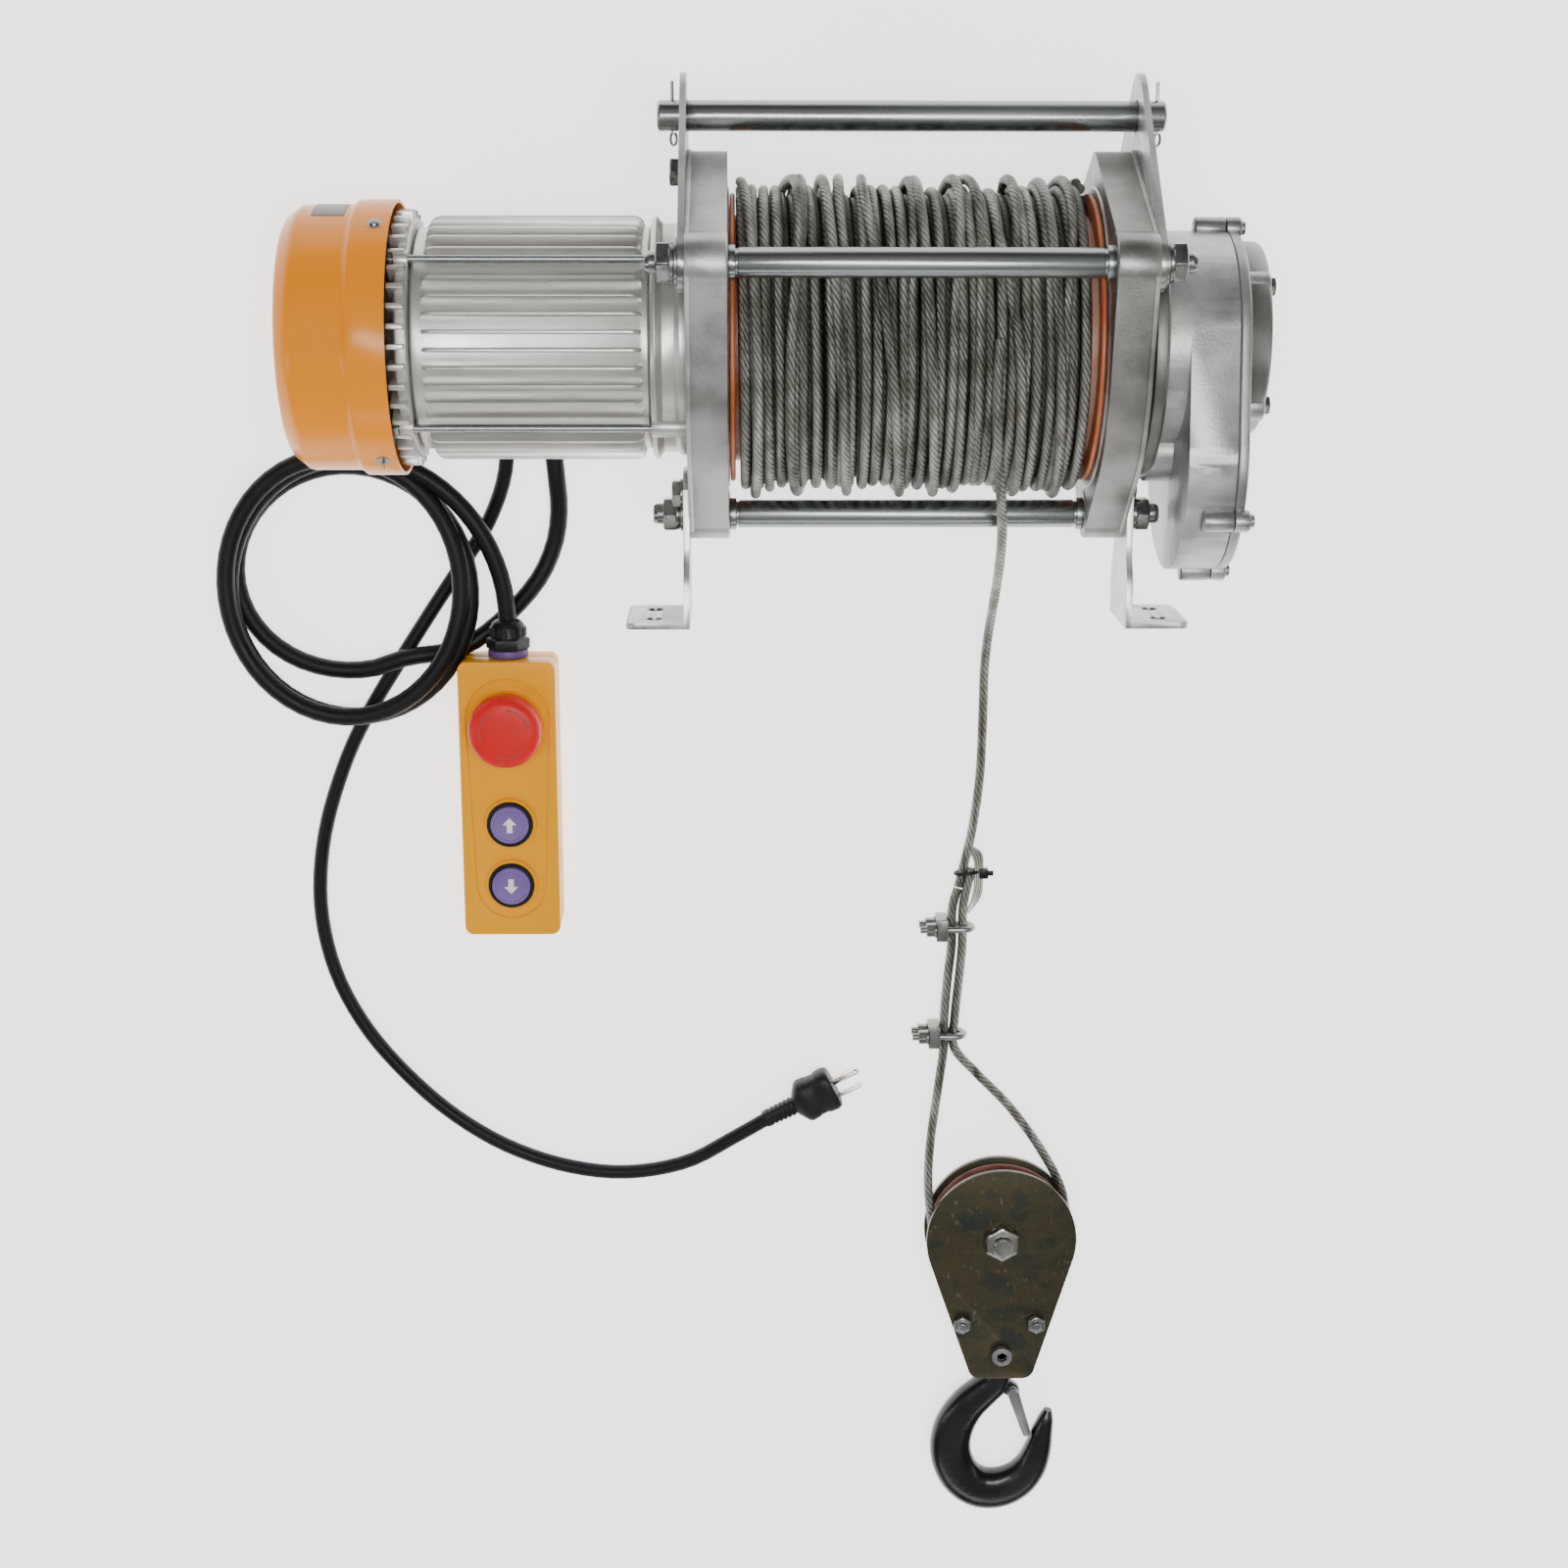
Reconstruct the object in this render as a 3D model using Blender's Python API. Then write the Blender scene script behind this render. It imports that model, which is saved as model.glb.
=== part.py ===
"""Electric wire rope hoist, laid on its back on a flat surface with its cords, pendant and hook block beside it.

Frame: +X runs along the drum from the motor to the gearbox, +Y points to the suspension bar, which is up when the
hoist hangs, and +Z comes out of its front. The origin is the middle of the terminal box's back face, which lies on
the surface Z = 0, level with the drum axis. The shapes are written from the middle of the drum along X, and moved
along to the origin at the end. Everything is in metres.
"""

import math

import bmesh
import bpy
from mathutils import Matrix, Vector
from mathutils.geometry import convex_hull_2d, tessellate_polygon

GAP = 0.0003

# From the middle of the terminal box, the origin, to the middle of the drum.
DRUM_FROM_ORIGIN = 0.231

# Drum line: its axis runs along X at Y = 0.
BACK_LOBE_R = 0.0155
ROD_CIRCLE = 0.108
ROD_ANGLE = math.radians(63)
AXIS_Z = ROD_CIRCLE * math.sin(ROD_ANGLE) + BACK_LOBE_R

# End plates and the rods between them.
PLATE_IN = 0.111
PLATE_OUT = 0.135
PLATE_R = 0.100
PLATE_STEPS = 40
HUB_BORE_R = 0.0302
ROD_R = 0.0087
ROD_STUB_R = 0.0068
ROD_END = 0.158
FRONT_LOBE_R = 0.017
TOP_BOLT_Y = 0.099
TOP_LOBE_R = 0.013
BOTTOM_LOBE_R = 0.0145
FOOT_BOLT_Y = -0.0935
FOOT_BOLT_DZ = 0.0145
FOOT_LOBE_R = 0.0135
BOLT_R = 0.005
BOLT_AF = 0.016
NUT_AF = 0.022
BOTTOM_NUT_AF = 0.019
WASHER_T = 0.003
SHEET_T = 0.0038
SHEET_IN = PLATE_OUT + GAP
SHEET_OUT = SHEET_IN + SHEET_T

# Suspension bar and its two straps.
BAR_Y = 0.132
BAR_R = 0.0091
BAR_END = 0.153
BAR_HOLE_R = 0.0096
STRAP_TOP_R = 0.025
STRAP_ARCH_R = 0.0905

# Feet.
FOOT_TOP_Y = -0.080
FOOT_HALF_TOP = 0.024
FOOT_HALF_BASE = 0.033
FOOT_WAIST_Y = -0.126
FOOT_BASE_Y = -0.148
FOOT_SOLE_Y = -0.1755
FOOT_REACH = 0.040

# Motor.
FIN_COUNT = 24
FIN_R = 0.0735
FIN_ROOT_R = 0.067
MOTOR_L = -0.298
MOTOR_R = -0.157
MOTOR_PAD_Z = AXIS_Z - 0.073
STATOR_R = 0.0575
STATOR_BORE_R = 0.0383
ROTOR_R = 0.0377
SHAFT_R = 0.008
SHAFT_L = -0.346
SHAFT_RIGHT = 0.205
FLANGE_R = 0.071
SHIELD_R = 0.072
COVER_L = -0.377
COVER_R = -0.310
COVER_RIM_R = 0.083
COVER_BODY_R = 0.080
COVER_WALL = 0.002

# Terminal box under the motor, which the hoist also lies on.
BOX_X = (-0.296, -0.166)
BOX_HALF_Y = 0.060
BOX_TOP = MOTOR_PAD_Z - GAP
BOX_WALL = 0.0025
CABLE_GLAND = (-0.227, 0.018)
CORD_GLAND = (-0.258, 0.018)
GLAND_LEN = 0.020
GLAND_R = 0.011

# Drum and rope.
DRUM_HALF = 0.1097
DRUM_FLANGE_T = 0.003
DRUM_FLANGE_R = 0.087
BARREL_R = 0.074
BARREL_WALL = 0.005
DRUM_BORE_R = 0.012
JOURNAL_R = 0.0297
GEAR_SEAT_R = 0.022
WINDING_R = 0.090
ROPE_D = 0.0064

# Gearbox: two equal spur stages between the shaft line and a countershaft below it.
MODULE = 0.0025
PINION_TEETH = 9
GEAR_TEETH = 45
CENTRES = 0.0679
TOOTH_UP = 0.0018
TOOTH_DOWN = 0.0026
TOOTH_PLAY = 0.00030
PRESSURE_ANGLE = math.radians(24)
COUNTER_Y = -CENTRES
BODY_TOP_R = 0.065
BODY_LOW_R = 0.0745
RING_R = 0.0845
SPIGOT_R = 0.0775
RING_X = 0.1475
LOWER_X = 0.163
SEAM_X = 0.192
COVER_X = 0.199
HOUSING_X = 0.213
BEARING_HOUSING_R = 0.059
DRUM_GEAR_X = (0.1525, 0.1665)
SHAFT_GEAR_X = (0.1725, 0.1855)
LUG_R = 0.0065
LUG_X = 0.173

# Hook block, lying on its axle's head.
BLOCK = (0.081, -0.640)
BLOCK_Z = 0.020
SHEAVE_R = 0.050
SHEAVE_HALF = 0.009
GROOVE_R = 0.0438
SIDE_R = 0.0535
SIDE_T = 0.004
SIDE_END_Y = -0.748
SIDE_END_HALF = 0.024
SIDE_CORNER_R = 0.009
AXLE_R = 0.008
AXLE_AF = 0.0225
CROSSHEAD_Y = (-0.742, -0.716)
SHANK_R = 0.008
HOOK_BOWL = (0.083, -0.812)

# Pendant control, lying face up.
PENDANT = (-0.2605, -0.312)
PENDANT_HALF_X = 0.0325
PENDANT_HALF_Y = 0.095
PENDANT_TOP = 0.040
PENDANT_SPLIT = 0.020
PENDANT_WALL = 0.0025
STOP_Y = -0.2605
UP_Y = -0.3285
DOWN_Y = -0.3715
BUTTON_R = 0.013
BUTTON_TOP = 0.0445
STOP_R = 0.0245
STOP_Z = (0.049, 0.066)

# Cords.
CABLE_D = 0.012
CORD_D = 0.010
COIL_CENTRE = (-0.377, -0.173)
COIL_IN_R = 0.064
COIL_OUT_R = 0.093
COIL_H = 0.025
COIL_TILT = math.radians(5.0)
COIL_HIGH_SIDE = math.radians(-45)
PLUG = (-0.084, -0.553)
PLUG_ANGLE = math.radians(27)

# Routes of the free cords and the rope, each a hand-chosen list that a smooth curve runs through.
CABLE_ROUTE = (
    (-0.2270, -0.0812, 0.0180),
    (-0.2258, -0.0960, 0.0165),
    (-0.2245, -0.1190, 0.0100),
    (-0.2290, -0.1430, 0.0064),
    (-0.2400, -0.1640, 0.0064),
    (-0.2560, -0.1780, 0.0070),
    (-0.2715, -0.1835, 0.0085),
)
CABLE_END_ROUTE = (
    (-0.3160, -0.0922, 0.0300),
    (-0.3010, -0.1022, 0.0290),
    (-0.2860, -0.1160, 0.0265),
    (-0.2740, -0.1310, 0.0245),
    (-0.2655, -0.1510, 0.0230),
    (-0.2615, -0.1710, 0.0213),
    (-0.2605, -0.1912, 0.0200),
)
CORD_ROUTE = (
    (-0.2580, -0.0820, 0.0180),
    (-0.2600, -0.0950, 0.0150),
    (-0.2660, -0.1130, 0.0085),
    (-0.2780, -0.1370, 0.0053),
    (-0.3140, -0.1900, 0.0053),
    (-0.3590, -0.2600, 0.0053),
    (-0.3930, -0.3420, 0.0053),
    (-0.3980, -0.3860, 0.0053),
    (-0.3930, -0.4300, 0.0053),
    (-0.3480, -0.5120, 0.0053),
    (-0.2780, -0.5760, 0.0053),
    (-0.1880, -0.5980, 0.0056),
    (-0.1440, -0.5890, 0.0075),
    (-0.1100, -0.5690, 0.0110),
    (-0.0875, -0.5552, 0.0120),
)
FALL_ROUTE = (
    (0.0470, 0.0060, 0.2057),
    (0.0460, -0.0200, 0.2046),
    (0.0470, -0.0450, 0.1975),
    (0.0505, -0.0720, 0.1790),
    (0.0560, -0.1010, 0.1500),
    (0.0595, -0.1270, 0.1200),
    (0.0612, -0.1530, 0.0870),
    (0.0620, -0.1790, 0.0530),
    (0.0622, -0.2050, 0.0235),
    (0.0622, -0.2310, 0.0068),
    (0.0622, -0.2640, 0.0037),
    (0.0610, -0.3060, 0.0037),
    (0.0560, -0.3460, 0.0045),
    (0.0474, -0.3837, 0.0074),
)
LEFT_LEG_ROUTE = (
    (0.0470, -0.3850, 0.0075),
    (0.0430, -0.3990, 0.0114),
    (0.0430, -0.4250, 0.0114),
    (0.0405, -0.4500, 0.0128),
    (0.0385, -0.4780, 0.0142),
    (0.0385, -0.5020, 0.0142),
    (0.0350, -0.5300, 0.0165),
    (0.0300, -0.5700, 0.0195),
    (0.0290, -0.6050, 0.0200),
)
RIGHT_LEG_ROUTE = (
    (0.1250, -0.6080, 0.0200),
    (0.1090, -0.5760, 0.0195),
    (0.0860, -0.5440, 0.0180),
    (0.0620, -0.5190, 0.0160),
    (0.0460, -0.5000, 0.0142),
    (0.0460, -0.4780, 0.0142),
    (0.0485, -0.4500, 0.0128),
    (0.0505, -0.4250, 0.0114),
    (0.0505, -0.3990, 0.0114),
    (0.0570, -0.3850, 0.0098),
    (0.0650, -0.3700, 0.0068),
)
# Where each rope clip sits: the live strand's X, the dead strand's X, then Y and Z.
UPPER_CLIP = (0.0430, 0.0505, -0.412, 0.0114)
LOWER_CLIP = (0.0385, 0.0460, -0.490, 0.0142)

# Each finish: colour, roughness, metallic.
YELLOW = ((0.83, 0.34, 0.012), 0.35, 0.0)
ORANGE = ((0.62, 0.13, 0.012), 0.5, 0.0)
RED = ((0.62, 0.035, 0.03), 0.35, 0.0)
MAROON = ((0.16, 0.035, 0.025), 0.5, 0.0)
LAVENDER = ((0.22, 0.16, 0.38), 0.45, 0.0)
BLACK = ((0.012, 0.013, 0.015), 0.5, 0.0)
RUBBER = ((0.02, 0.021, 0.024), 0.65, 0.0)
CAST = ((0.42, 0.42, 0.41), 0.45, 0.7)
DARK_CAST = ((0.20, 0.20, 0.19), 0.5, 0.6)
BRIGHT_CAST = ((0.68, 0.69, 0.68), 0.38, 0.8)
STEEL = ((0.40, 0.41, 0.42), 0.35, 1.0)
ZINC = ((0.55, 0.56, 0.55), 0.3, 1.0)
ZINC_YELLOW = ((0.28, 0.27, 0.18), 0.4, 0.8)
ROPE_STEEL = ((0.34, 0.34, 0.32), 0.45, 0.9)
FORGED_BLACK = ((0.015, 0.014, 0.013), 0.3, 0.2)


# ---------------------------------------------------------------- outlines

def circle(centre, radius, steps=24, start=0.0):
    points = []
    for k in range(steps):
        angle = start + 2 * math.pi * k / steps
        points.append((centre[0] + radius * math.cos(angle), centre[1] + radius * math.sin(angle)))
    return points


def band(circles, steps=48):
    """The outline of a band stretched round circles, each (a, b, radius)."""
    points = []
    for a, b, radius in circles:
        points += circle((a, b), radius, steps)
    order = convex_hull_2d(points)
    return [points[i] for i in order]


def gear_outline(centre, teeth, phase):
    """Straight-sided teeth cut a little thin, so that meshed gears run with play. A tooth is centred on phase."""
    pitch_r = MODULE * teeth / 2
    half = 0.25 * math.pi * MODULE - TOOTH_PLAY
    slope = math.tan(PRESSURE_ANGLE)
    corners = []
    for reach in (-TOOTH_DOWN, TOOTH_UP):
        radius = pitch_r + reach
        corners.append((radius, (half - reach * slope) / radius))
    corners = [(radius, -offset) for radius, offset in corners] + list(reversed(corners))
    points = []
    for k in range(teeth):
        for radius, offset in corners:
            angle = phase + k * 2 * math.pi / teeth + offset
            points.append((centre[0] + radius * math.cos(angle), centre[1] + radius * math.sin(angle)))
    return points


def fin_outline(pad_half, pad_depth):
    """The motor housing's section about its own axis: fins all round, except for a flat pad at its back."""
    points = []
    step = 2 * math.pi / FIN_COUNT
    pad_angle = math.asin(pad_half / FIN_ROOT_R)
    for k in range(FIN_COUNT):
        middle = -math.pi / 2 + (k + 0.5) * step
        away = abs(middle + math.pi / 2) if middle < math.pi / 2 else abs(middle - 1.5 * math.pi)
        if away < pad_angle + 0.30 * step:
            continue
        for radius, share in ((FIN_ROOT_R, -0.26), (FIN_R, -0.14), (FIN_R, 0.14), (FIN_ROOT_R, 0.26)):
            angle = middle + share * step
            points.append((radius * math.cos(angle), radius * math.sin(angle)))
    edge = -math.sqrt(FIN_ROOT_R ** 2 - pad_half ** 2)
    pad = [(-pad_half, edge), (-pad_half, -pad_depth), (pad_half, -pad_depth), (pad_half, edge)]
    return [(a, AXIS_Z + b) for a, b in points + pad]


# ---------------------------------------------------------------- solids, each a bmesh in world coordinates

def place(axis, along, a, b):
    """A point from its distance along an axis and its two others, in the order X, Y, Z, X, Y."""
    if axis == "X":
        return Vector((along, a, b))
    if axis == "Y":
        return Vector((b, along, a))
    return Vector((a, b, along))


def closed(mesh):
    bmesh.ops.remove_doubles(mesh, verts=mesh.verts, dist=1e-7)
    bmesh.ops.recalc_face_normals(mesh, faces=mesh.faces)
    return mesh


def merge(*meshes):
    """Several bmeshes in one, for cutters and additions that don't touch each other."""
    whole = bmesh.new()
    for mesh in meshes:
        copies = {vert: whole.verts.new(vert.co) for vert in mesh.verts}
        for face in mesh.faces:
            whole.faces.new([copies[vert] for vert in face.verts])
        mesh.free()
    return closed(whole)


def prism(axis, low, high, outline, holes=()):
    loops = [outline] + list(holes)
    mesh = bmesh.new()
    flat = [point for loop in loops for point in loop]
    ends = [[mesh.verts.new(place(axis, along, a, b)) for a, b in flat] for along in (low, high)]
    caps = tessellate_polygon([[Vector((a, b, 0)) for a, b in loop] for loop in loops])
    for ring in ends:
        for cap in caps:
            mesh.faces.new([ring[i] for i in cap])
    first = 0
    for loop in loops:
        count = len(loop)
        for k in range(count):
            i = first + k
            j = first + (k + 1) % count
            mesh.faces.new((ends[0][i], ends[0][j], ends[1][j], ends[1][i]))
        first += count
    return closed(mesh)


def box(low, high):
    outline = ((low[0], low[1]), (high[0], low[1]), (high[0], high[1]), (low[0], high[1]))
    return prism("Z", low[2], high[2], outline)


def turned(axis, centre, profile, steps=32, ring=False, start=0.0):
    """Profile entries are (along, radius) or (along, half the width across flats, 6) for a hexagon."""
    mesh = bmesh.new()
    rings = []
    for entry in profile:
        along, radius = entry[0], entry[1]
        if radius == 0:
            rings.append([mesh.verts.new(place(axis, along, centre[0], centre[1]))] * steps)
            continue
        loop = []
        for k in range(steps):
            angle = 2 * math.pi * k / steps
            reach = radius
            if len(entry) == 3:
                reach = radius / math.cos((angle + math.pi / 6) % (math.pi / 3) - math.pi / 6)
            turn = angle + start
            a = centre[0] + reach * math.cos(turn)
            b = centre[1] + reach * math.sin(turn)
            loop.append(mesh.verts.new(place(axis, along, a, b)))
        rings.append(loop)
    pairs = list(zip(rings, rings[1:]))
    if ring:
        pairs.append((rings[-1], rings[0]))
    for one, two in pairs:
        for k in range(steps):
            after = (k + 1) % steps
            corners = []
            for vert in (one[k], one[after], two[after], two[k]):
                if vert not in corners:
                    corners.append(vert)
            if len(corners) > 2:
                mesh.faces.new(corners)
    if not ring:
        for loop in (rings[0], rings[-1]):
            if loop[0] is not loop[1]:
                mesh.faces.new(loop)
    return closed(mesh)


def cylinder(axis, low, high, centre, radius, steps=24):
    return turned(axis, centre, ((low, radius), (high, radius)), steps)


def loft(sections):
    """A solid through closed sections that have equal numbers of points."""
    mesh = bmesh.new()
    loops = [[mesh.verts.new(point) for point in section] for section in sections]
    for one, two in zip(loops, loops[1:]):
        count = len(one)
        for k in range(count):
            after = (k + 1) % count
            mesh.faces.new((one[k], one[after], two[after], two[k]))
    mesh.faces.new(loops[0])
    mesh.faces.new(loops[-1])
    return closed(mesh)


def sweep(path, steps=12, power=1.0):
    """Sections (x, y, z, half width, half height) swept along a path that lies flat."""
    sections = []
    for i, (x, y, z, width, height) in enumerate(path):
        back = path[max(i - 1, 0)]
        ahead = path[min(i + 1, len(path) - 1)]
        along = Vector((ahead[0] - back[0], ahead[1] - back[1], 0)).normalized()
        side = Vector((-along.y, along.x, 0))
        section = []
        for k in range(steps):
            angle = 2 * math.pi * (k + 0.5) / steps
            c, s = math.cos(angle), math.sin(angle)
            u = math.copysign(abs(c) ** power, c) * width
            v = math.copysign(abs(s) ** power, s) * height
            section.append(Vector((x, y, z)) + side * u + Vector((0, 0, v)))
        sections.append(section)
    return loft(sections)


# ---------------------------------------------------------------- objects

def new_object(name, mesh, origin=(0.0, 0.0, 0.0)):
    data = bpy.data.meshes.new(name)
    bmesh.ops.translate(mesh, verts=mesh.verts, vec=-Vector(origin))
    mesh.to_mesh(data)
    mesh.free()
    thing = bpy.data.objects.new(name, data)
    thing.location = origin
    bpy.context.scene.collection.objects.link(thing)
    return thing


def paint(thing, finish):
    colour, roughness, metallic = finish
    material = bpy.data.materials.new(thing.name)
    material.use_nodes = True
    shader = material.node_tree.nodes["Principled BSDF"]
    shader.inputs["Base Color"].default_value = (*colour, 1.0)
    shader.inputs["Roughness"].default_value = roughness
    shader.inputs["Metallic"].default_value = metallic
    thing.data.materials.append(material)


def make(name, mesh, finish, add=(), cut=(), origin=(0.0, 0.0, 0.0), smooth=True):
    """A named part: a base solid, other solids joined to it, then solids cut from it."""
    thing = new_object(name, mesh, origin)
    if smooth:
        for face in thing.data.polygons:
            face.use_smooth = True
        thing.data.set_sharp_from_angle(angle=math.radians(32))
    steps = [("UNION", solid) for solid in add] + [("DIFFERENCE", solid) for solid in cut]
    for count, (operation, solid) in enumerate(steps):
        tool = new_object(f"{name}_tool_{count}", solid)
        tool.hide_render = True
        tool.display_type = "WIRE"
        modifier = thing.modifiers.new(f"{operation.lower()}_{count}", "BOOLEAN")
        modifier.operation = operation
        modifier.solver = "EXACT"
        modifier.object = tool
    paint(thing, finish)
    return thing


def smooth_route(route, spacing):
    """Evenly spaced points on a Catmull-Rom curve through the route."""
    knots = [Vector(point) for point in route]
    knots = [2 * knots[0] - knots[1]] + knots + [2 * knots[-1] - knots[-2]]
    fine = []
    for i in range(1, len(knots) - 2):
        p0, p1, p2, p3 = knots[i - 1:i + 3]
        for k in range(24):
            t = k / 24
            fine.append(0.5 * (2 * p1 + (p2 - p0) * t + (2 * p0 - 5 * p1 + 4 * p2 - p3) * t * t
                               + (3 * p1 - p0 - 3 * p2 + p3) * t ** 3))
    fine.append(knots[-2])
    total = sum((b - a).length for a, b in zip(fine, fine[1:]))
    count = max(2, round(total / spacing))
    points = [fine[0]]
    run = 0.0
    for a, b in zip(fine, fine[1:]):
        length = (b - a).length
        while len(points) < count and run + length >= total * len(points) / count:
            points.append(a.lerp(b, (total * len(points) / count - run) / length))
        run += length
    points.append(fine[-1])
    return points


def tube(name, route, diameter, finish, spacing):
    points = smooth_route(route, spacing)
    data = bpy.data.curves.new(name, "CURVE")
    data.dimensions = "3D"
    data.bevel_depth = diameter / 2
    data.bevel_resolution = 2
    data.resolution_u = 1
    data.render_resolution_u = 0
    data.use_fill_caps = True
    line = data.splines.new("POLY")
    line.points.add(len(points) - 1)
    for slot, point in zip(line.points, points):
        slot.co = (*point, 1.0)
    thing = bpy.data.objects.new(name, data)
    bpy.context.scene.collection.objects.link(thing)
    paint(thing, finish)
    return thing


# ---------------------------------------------------------------- frame

def rod_place(angle):
    return (ROD_CIRCLE * math.cos(angle), AXIS_Z + ROD_CIRCLE * math.sin(angle))


FRONT_ROD = rod_place(ROD_ANGLE)
BACK_ROD = rod_place(-ROD_ANGLE)
BOTTOM_ROD = rod_place(math.pi)


def make_plates():
    for side, sign in (("left", -1), ("right", 1)):
        foot_bolt = (FOOT_BOLT_Y, AXIS_Z - sign * FOOT_BOLT_DZ)
        outline = band((
            (0.0, AXIS_Z, PLATE_R),
            (*FRONT_ROD, FRONT_LOBE_R),
            (*BACK_ROD, BACK_LOBE_R),
            (*BOTTOM_ROD, BOTTOM_LOBE_R),
            (TOP_BOLT_Y, AXIS_Z, TOP_LOBE_R),
            (*foot_bolt, FOOT_LOBE_R),
        ), PLATE_STEPS)
        holes = [circle((0.0, AXIS_Z), HUB_BORE_R, 28)]
        holes += [circle(rod, ROD_STUB_R + GAP, 12) for rod in (FRONT_ROD, BACK_ROD, BOTTOM_ROD)]
        holes += [circle(bolt, BOLT_R + GAP, 12) for bolt in ((TOP_BOLT_Y, AXIS_Z), foot_bolt)]
        low, high = sorted((sign * PLATE_IN, sign * PLATE_OUT))
        finish = CAST if side == "left" else DARK_CAST
        make(f"{side}_end_plate", prism("X", low, high, outline, holes), finish)


def make_rods():
    shoulder = PLATE_IN - GAP
    half = ((shoulder - 0.0065, ROD_R), (shoulder - 0.0065, ROD_R - 0.001), (shoulder - 0.0045, ROD_R - 0.001),
            (shoulder - 0.0045, 0.0100), (shoulder, 0.0100), (shoulder, ROD_STUB_R),
            (ROD_END - 0.001, ROD_STUB_R), (ROD_END, ROD_STUB_R - 0.001))
    profile = [(-x, r) for x, r in reversed(half)] + list(half)
    for name, place_at in (("front", FRONT_ROD), ("back", BACK_ROD), ("bottom", BOTTOM_ROD)):
        make(f"tie_rod_{name}", turned("X", place_at, profile, 12), STEEL)
        flats = BOTTOM_NUT_AF if name == "bottom" else NUT_AF
        washer_r = 0.0108 if name == "bottom" else 0.0140
        for side, sign in (("left", -1), ("right", 1)):
            face = SHEET_OUT + GAP
            nut = ((face, washer_r), (face + 0.0025, washer_r), (face + 0.0025, flats / 2, 6),
                   (face + 0.0125, flats / 2, 6), (face + 0.0125, ROD_STUB_R + GAP), (face, ROD_STUB_R + GAP))
            profile_nut = [(sign * entry[0], *entry[1:]) for entry in nut]
            make(f"rod_nut_{name}_{side}", turned("X", place_at, profile_nut, 12, ring=True), ZINC)


def make_bolt(name, centre, sign):
    face = SHEET_OUT + GAP
    profile = ((PLATE_IN + 0.004, BOLT_R), (face, BOLT_R), (face, 0.0092), (face + 0.001, 0.0092),
               (face + 0.001, BOLT_AF / 2, 6), (face + 0.0065, BOLT_AF / 2, 6))
    make(name, turned("X", centre, [(sign * entry[0], *entry[1:]) for entry in profile], 12), ZINC)


def make_straps():
    for side, sign in (("left", -1), ("right", 1)):
        outline = band((
            (BAR_Y, AXIS_Z, STRAP_TOP_R),
            (*FRONT_ROD, 0.0165),
            (*BACK_ROD, 0.0152),
        ), PLATE_STEPS)
        holes = [circle(rod, ROD_STUB_R + GAP, 12) for rod in (FRONT_ROD, BACK_ROD)]
        holes += [circle((TOP_BOLT_Y, AXIS_Z), BOLT_R + GAP, 12), circle((BAR_Y, AXIS_Z), BAR_HOLE_R, 20)]
        low, high = sorted((sign * SHEET_IN, sign * SHEET_OUT))
        arch = cylinder("X", low - 0.01, high + 0.01, (0.0, AXIS_Z), STRAP_ARCH_R, 60)
        make(f"{side}_hanger_strap", prism("X", low, high, outline, holes), ZINC, cut=[arch])
        make_bolt(f"{side}_top_bolt", (TOP_BOLT_Y, AXIS_Z), sign)
    pins = [cylinder("Y", BAR_Y - 0.016, BAR_Y + 0.018, (AXIS_Z, x), 0.0012, 8) for x in (-0.144, 0.148)]
    bar = ((-BAR_END, BAR_R - 0.001), (-BAR_END + 0.001, BAR_R), (BAR_END - 0.001, BAR_R), (BAR_END, BAR_R - 0.001))
    make("suspension_bar", turned("X", (BAR_Y, AXIS_Z), bar, 20), STEEL, add=[merge(*pins)],
         origin=(0.0, BAR_Y, AXIS_Z))


def make_feet():
    for side, sign in (("left", -1), ("right", 1)):
        bolt = (FOOT_BOLT_Y, AXIS_Z - sign * FOOT_BOLT_DZ)
        profile = [
            (FOOT_TOP_Y, AXIS_Z - 0.014), (FOOT_TOP_Y - 0.010, AXIS_Z - FOOT_HALF_TOP),
            (FOOT_WAIST_Y, AXIS_Z - FOOT_HALF_TOP), (FOOT_BASE_Y, AXIS_Z - FOOT_HALF_BASE),
            (FOOT_SOLE_Y, AXIS_Z - FOOT_HALF_BASE), (FOOT_SOLE_Y, AXIS_Z + FOOT_HALF_BASE),
            (FOOT_BASE_Y, AXIS_Z + FOOT_HALF_BASE), (FOOT_WAIST_Y, AXIS_Z + FOOT_HALF_TOP),
            (FOOT_TOP_Y - 0.010, AXIS_Z + FOOT_HALF_TOP), (FOOT_TOP_Y, AXIS_Z + 0.014),
        ]
        holes = [circle(BOTTOM_ROD, ROD_STUB_R + GAP, 12), circle(bolt, BOLT_R + GAP, 12)]
        low, high = sorted((sign * SHEET_IN, sign * SHEET_OUT))
        inner, outer = sorted((sign * (SHEET_IN + 0.001), sign * (PLATE_OUT + FOOT_REACH)))
        corners = ((AXIS_Z - FOOT_HALF_BASE, inner), (AXIS_Z + FOOT_HALF_BASE, inner),
                   (AXIS_Z + FOOT_HALF_BASE, outer), (AXIS_Z - FOOT_HALF_BASE, outer))
        slots = [circle((AXIS_Z + dz, sign * 0.158), 0.005, 12) for dz in (-0.0165, 0.0165)]
        plate = prism("Y", FOOT_SOLE_Y, FOOT_SOLE_Y + SHEET_T, corners, slots)
        make(f"{side}_foot", prism("X", low, high, profile, holes), ZINC, add=[plate], smooth=False)
        make_bolt(f"{side}_foot_bolt", bolt, sign)


# ---------------------------------------------------------------- motor

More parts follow.
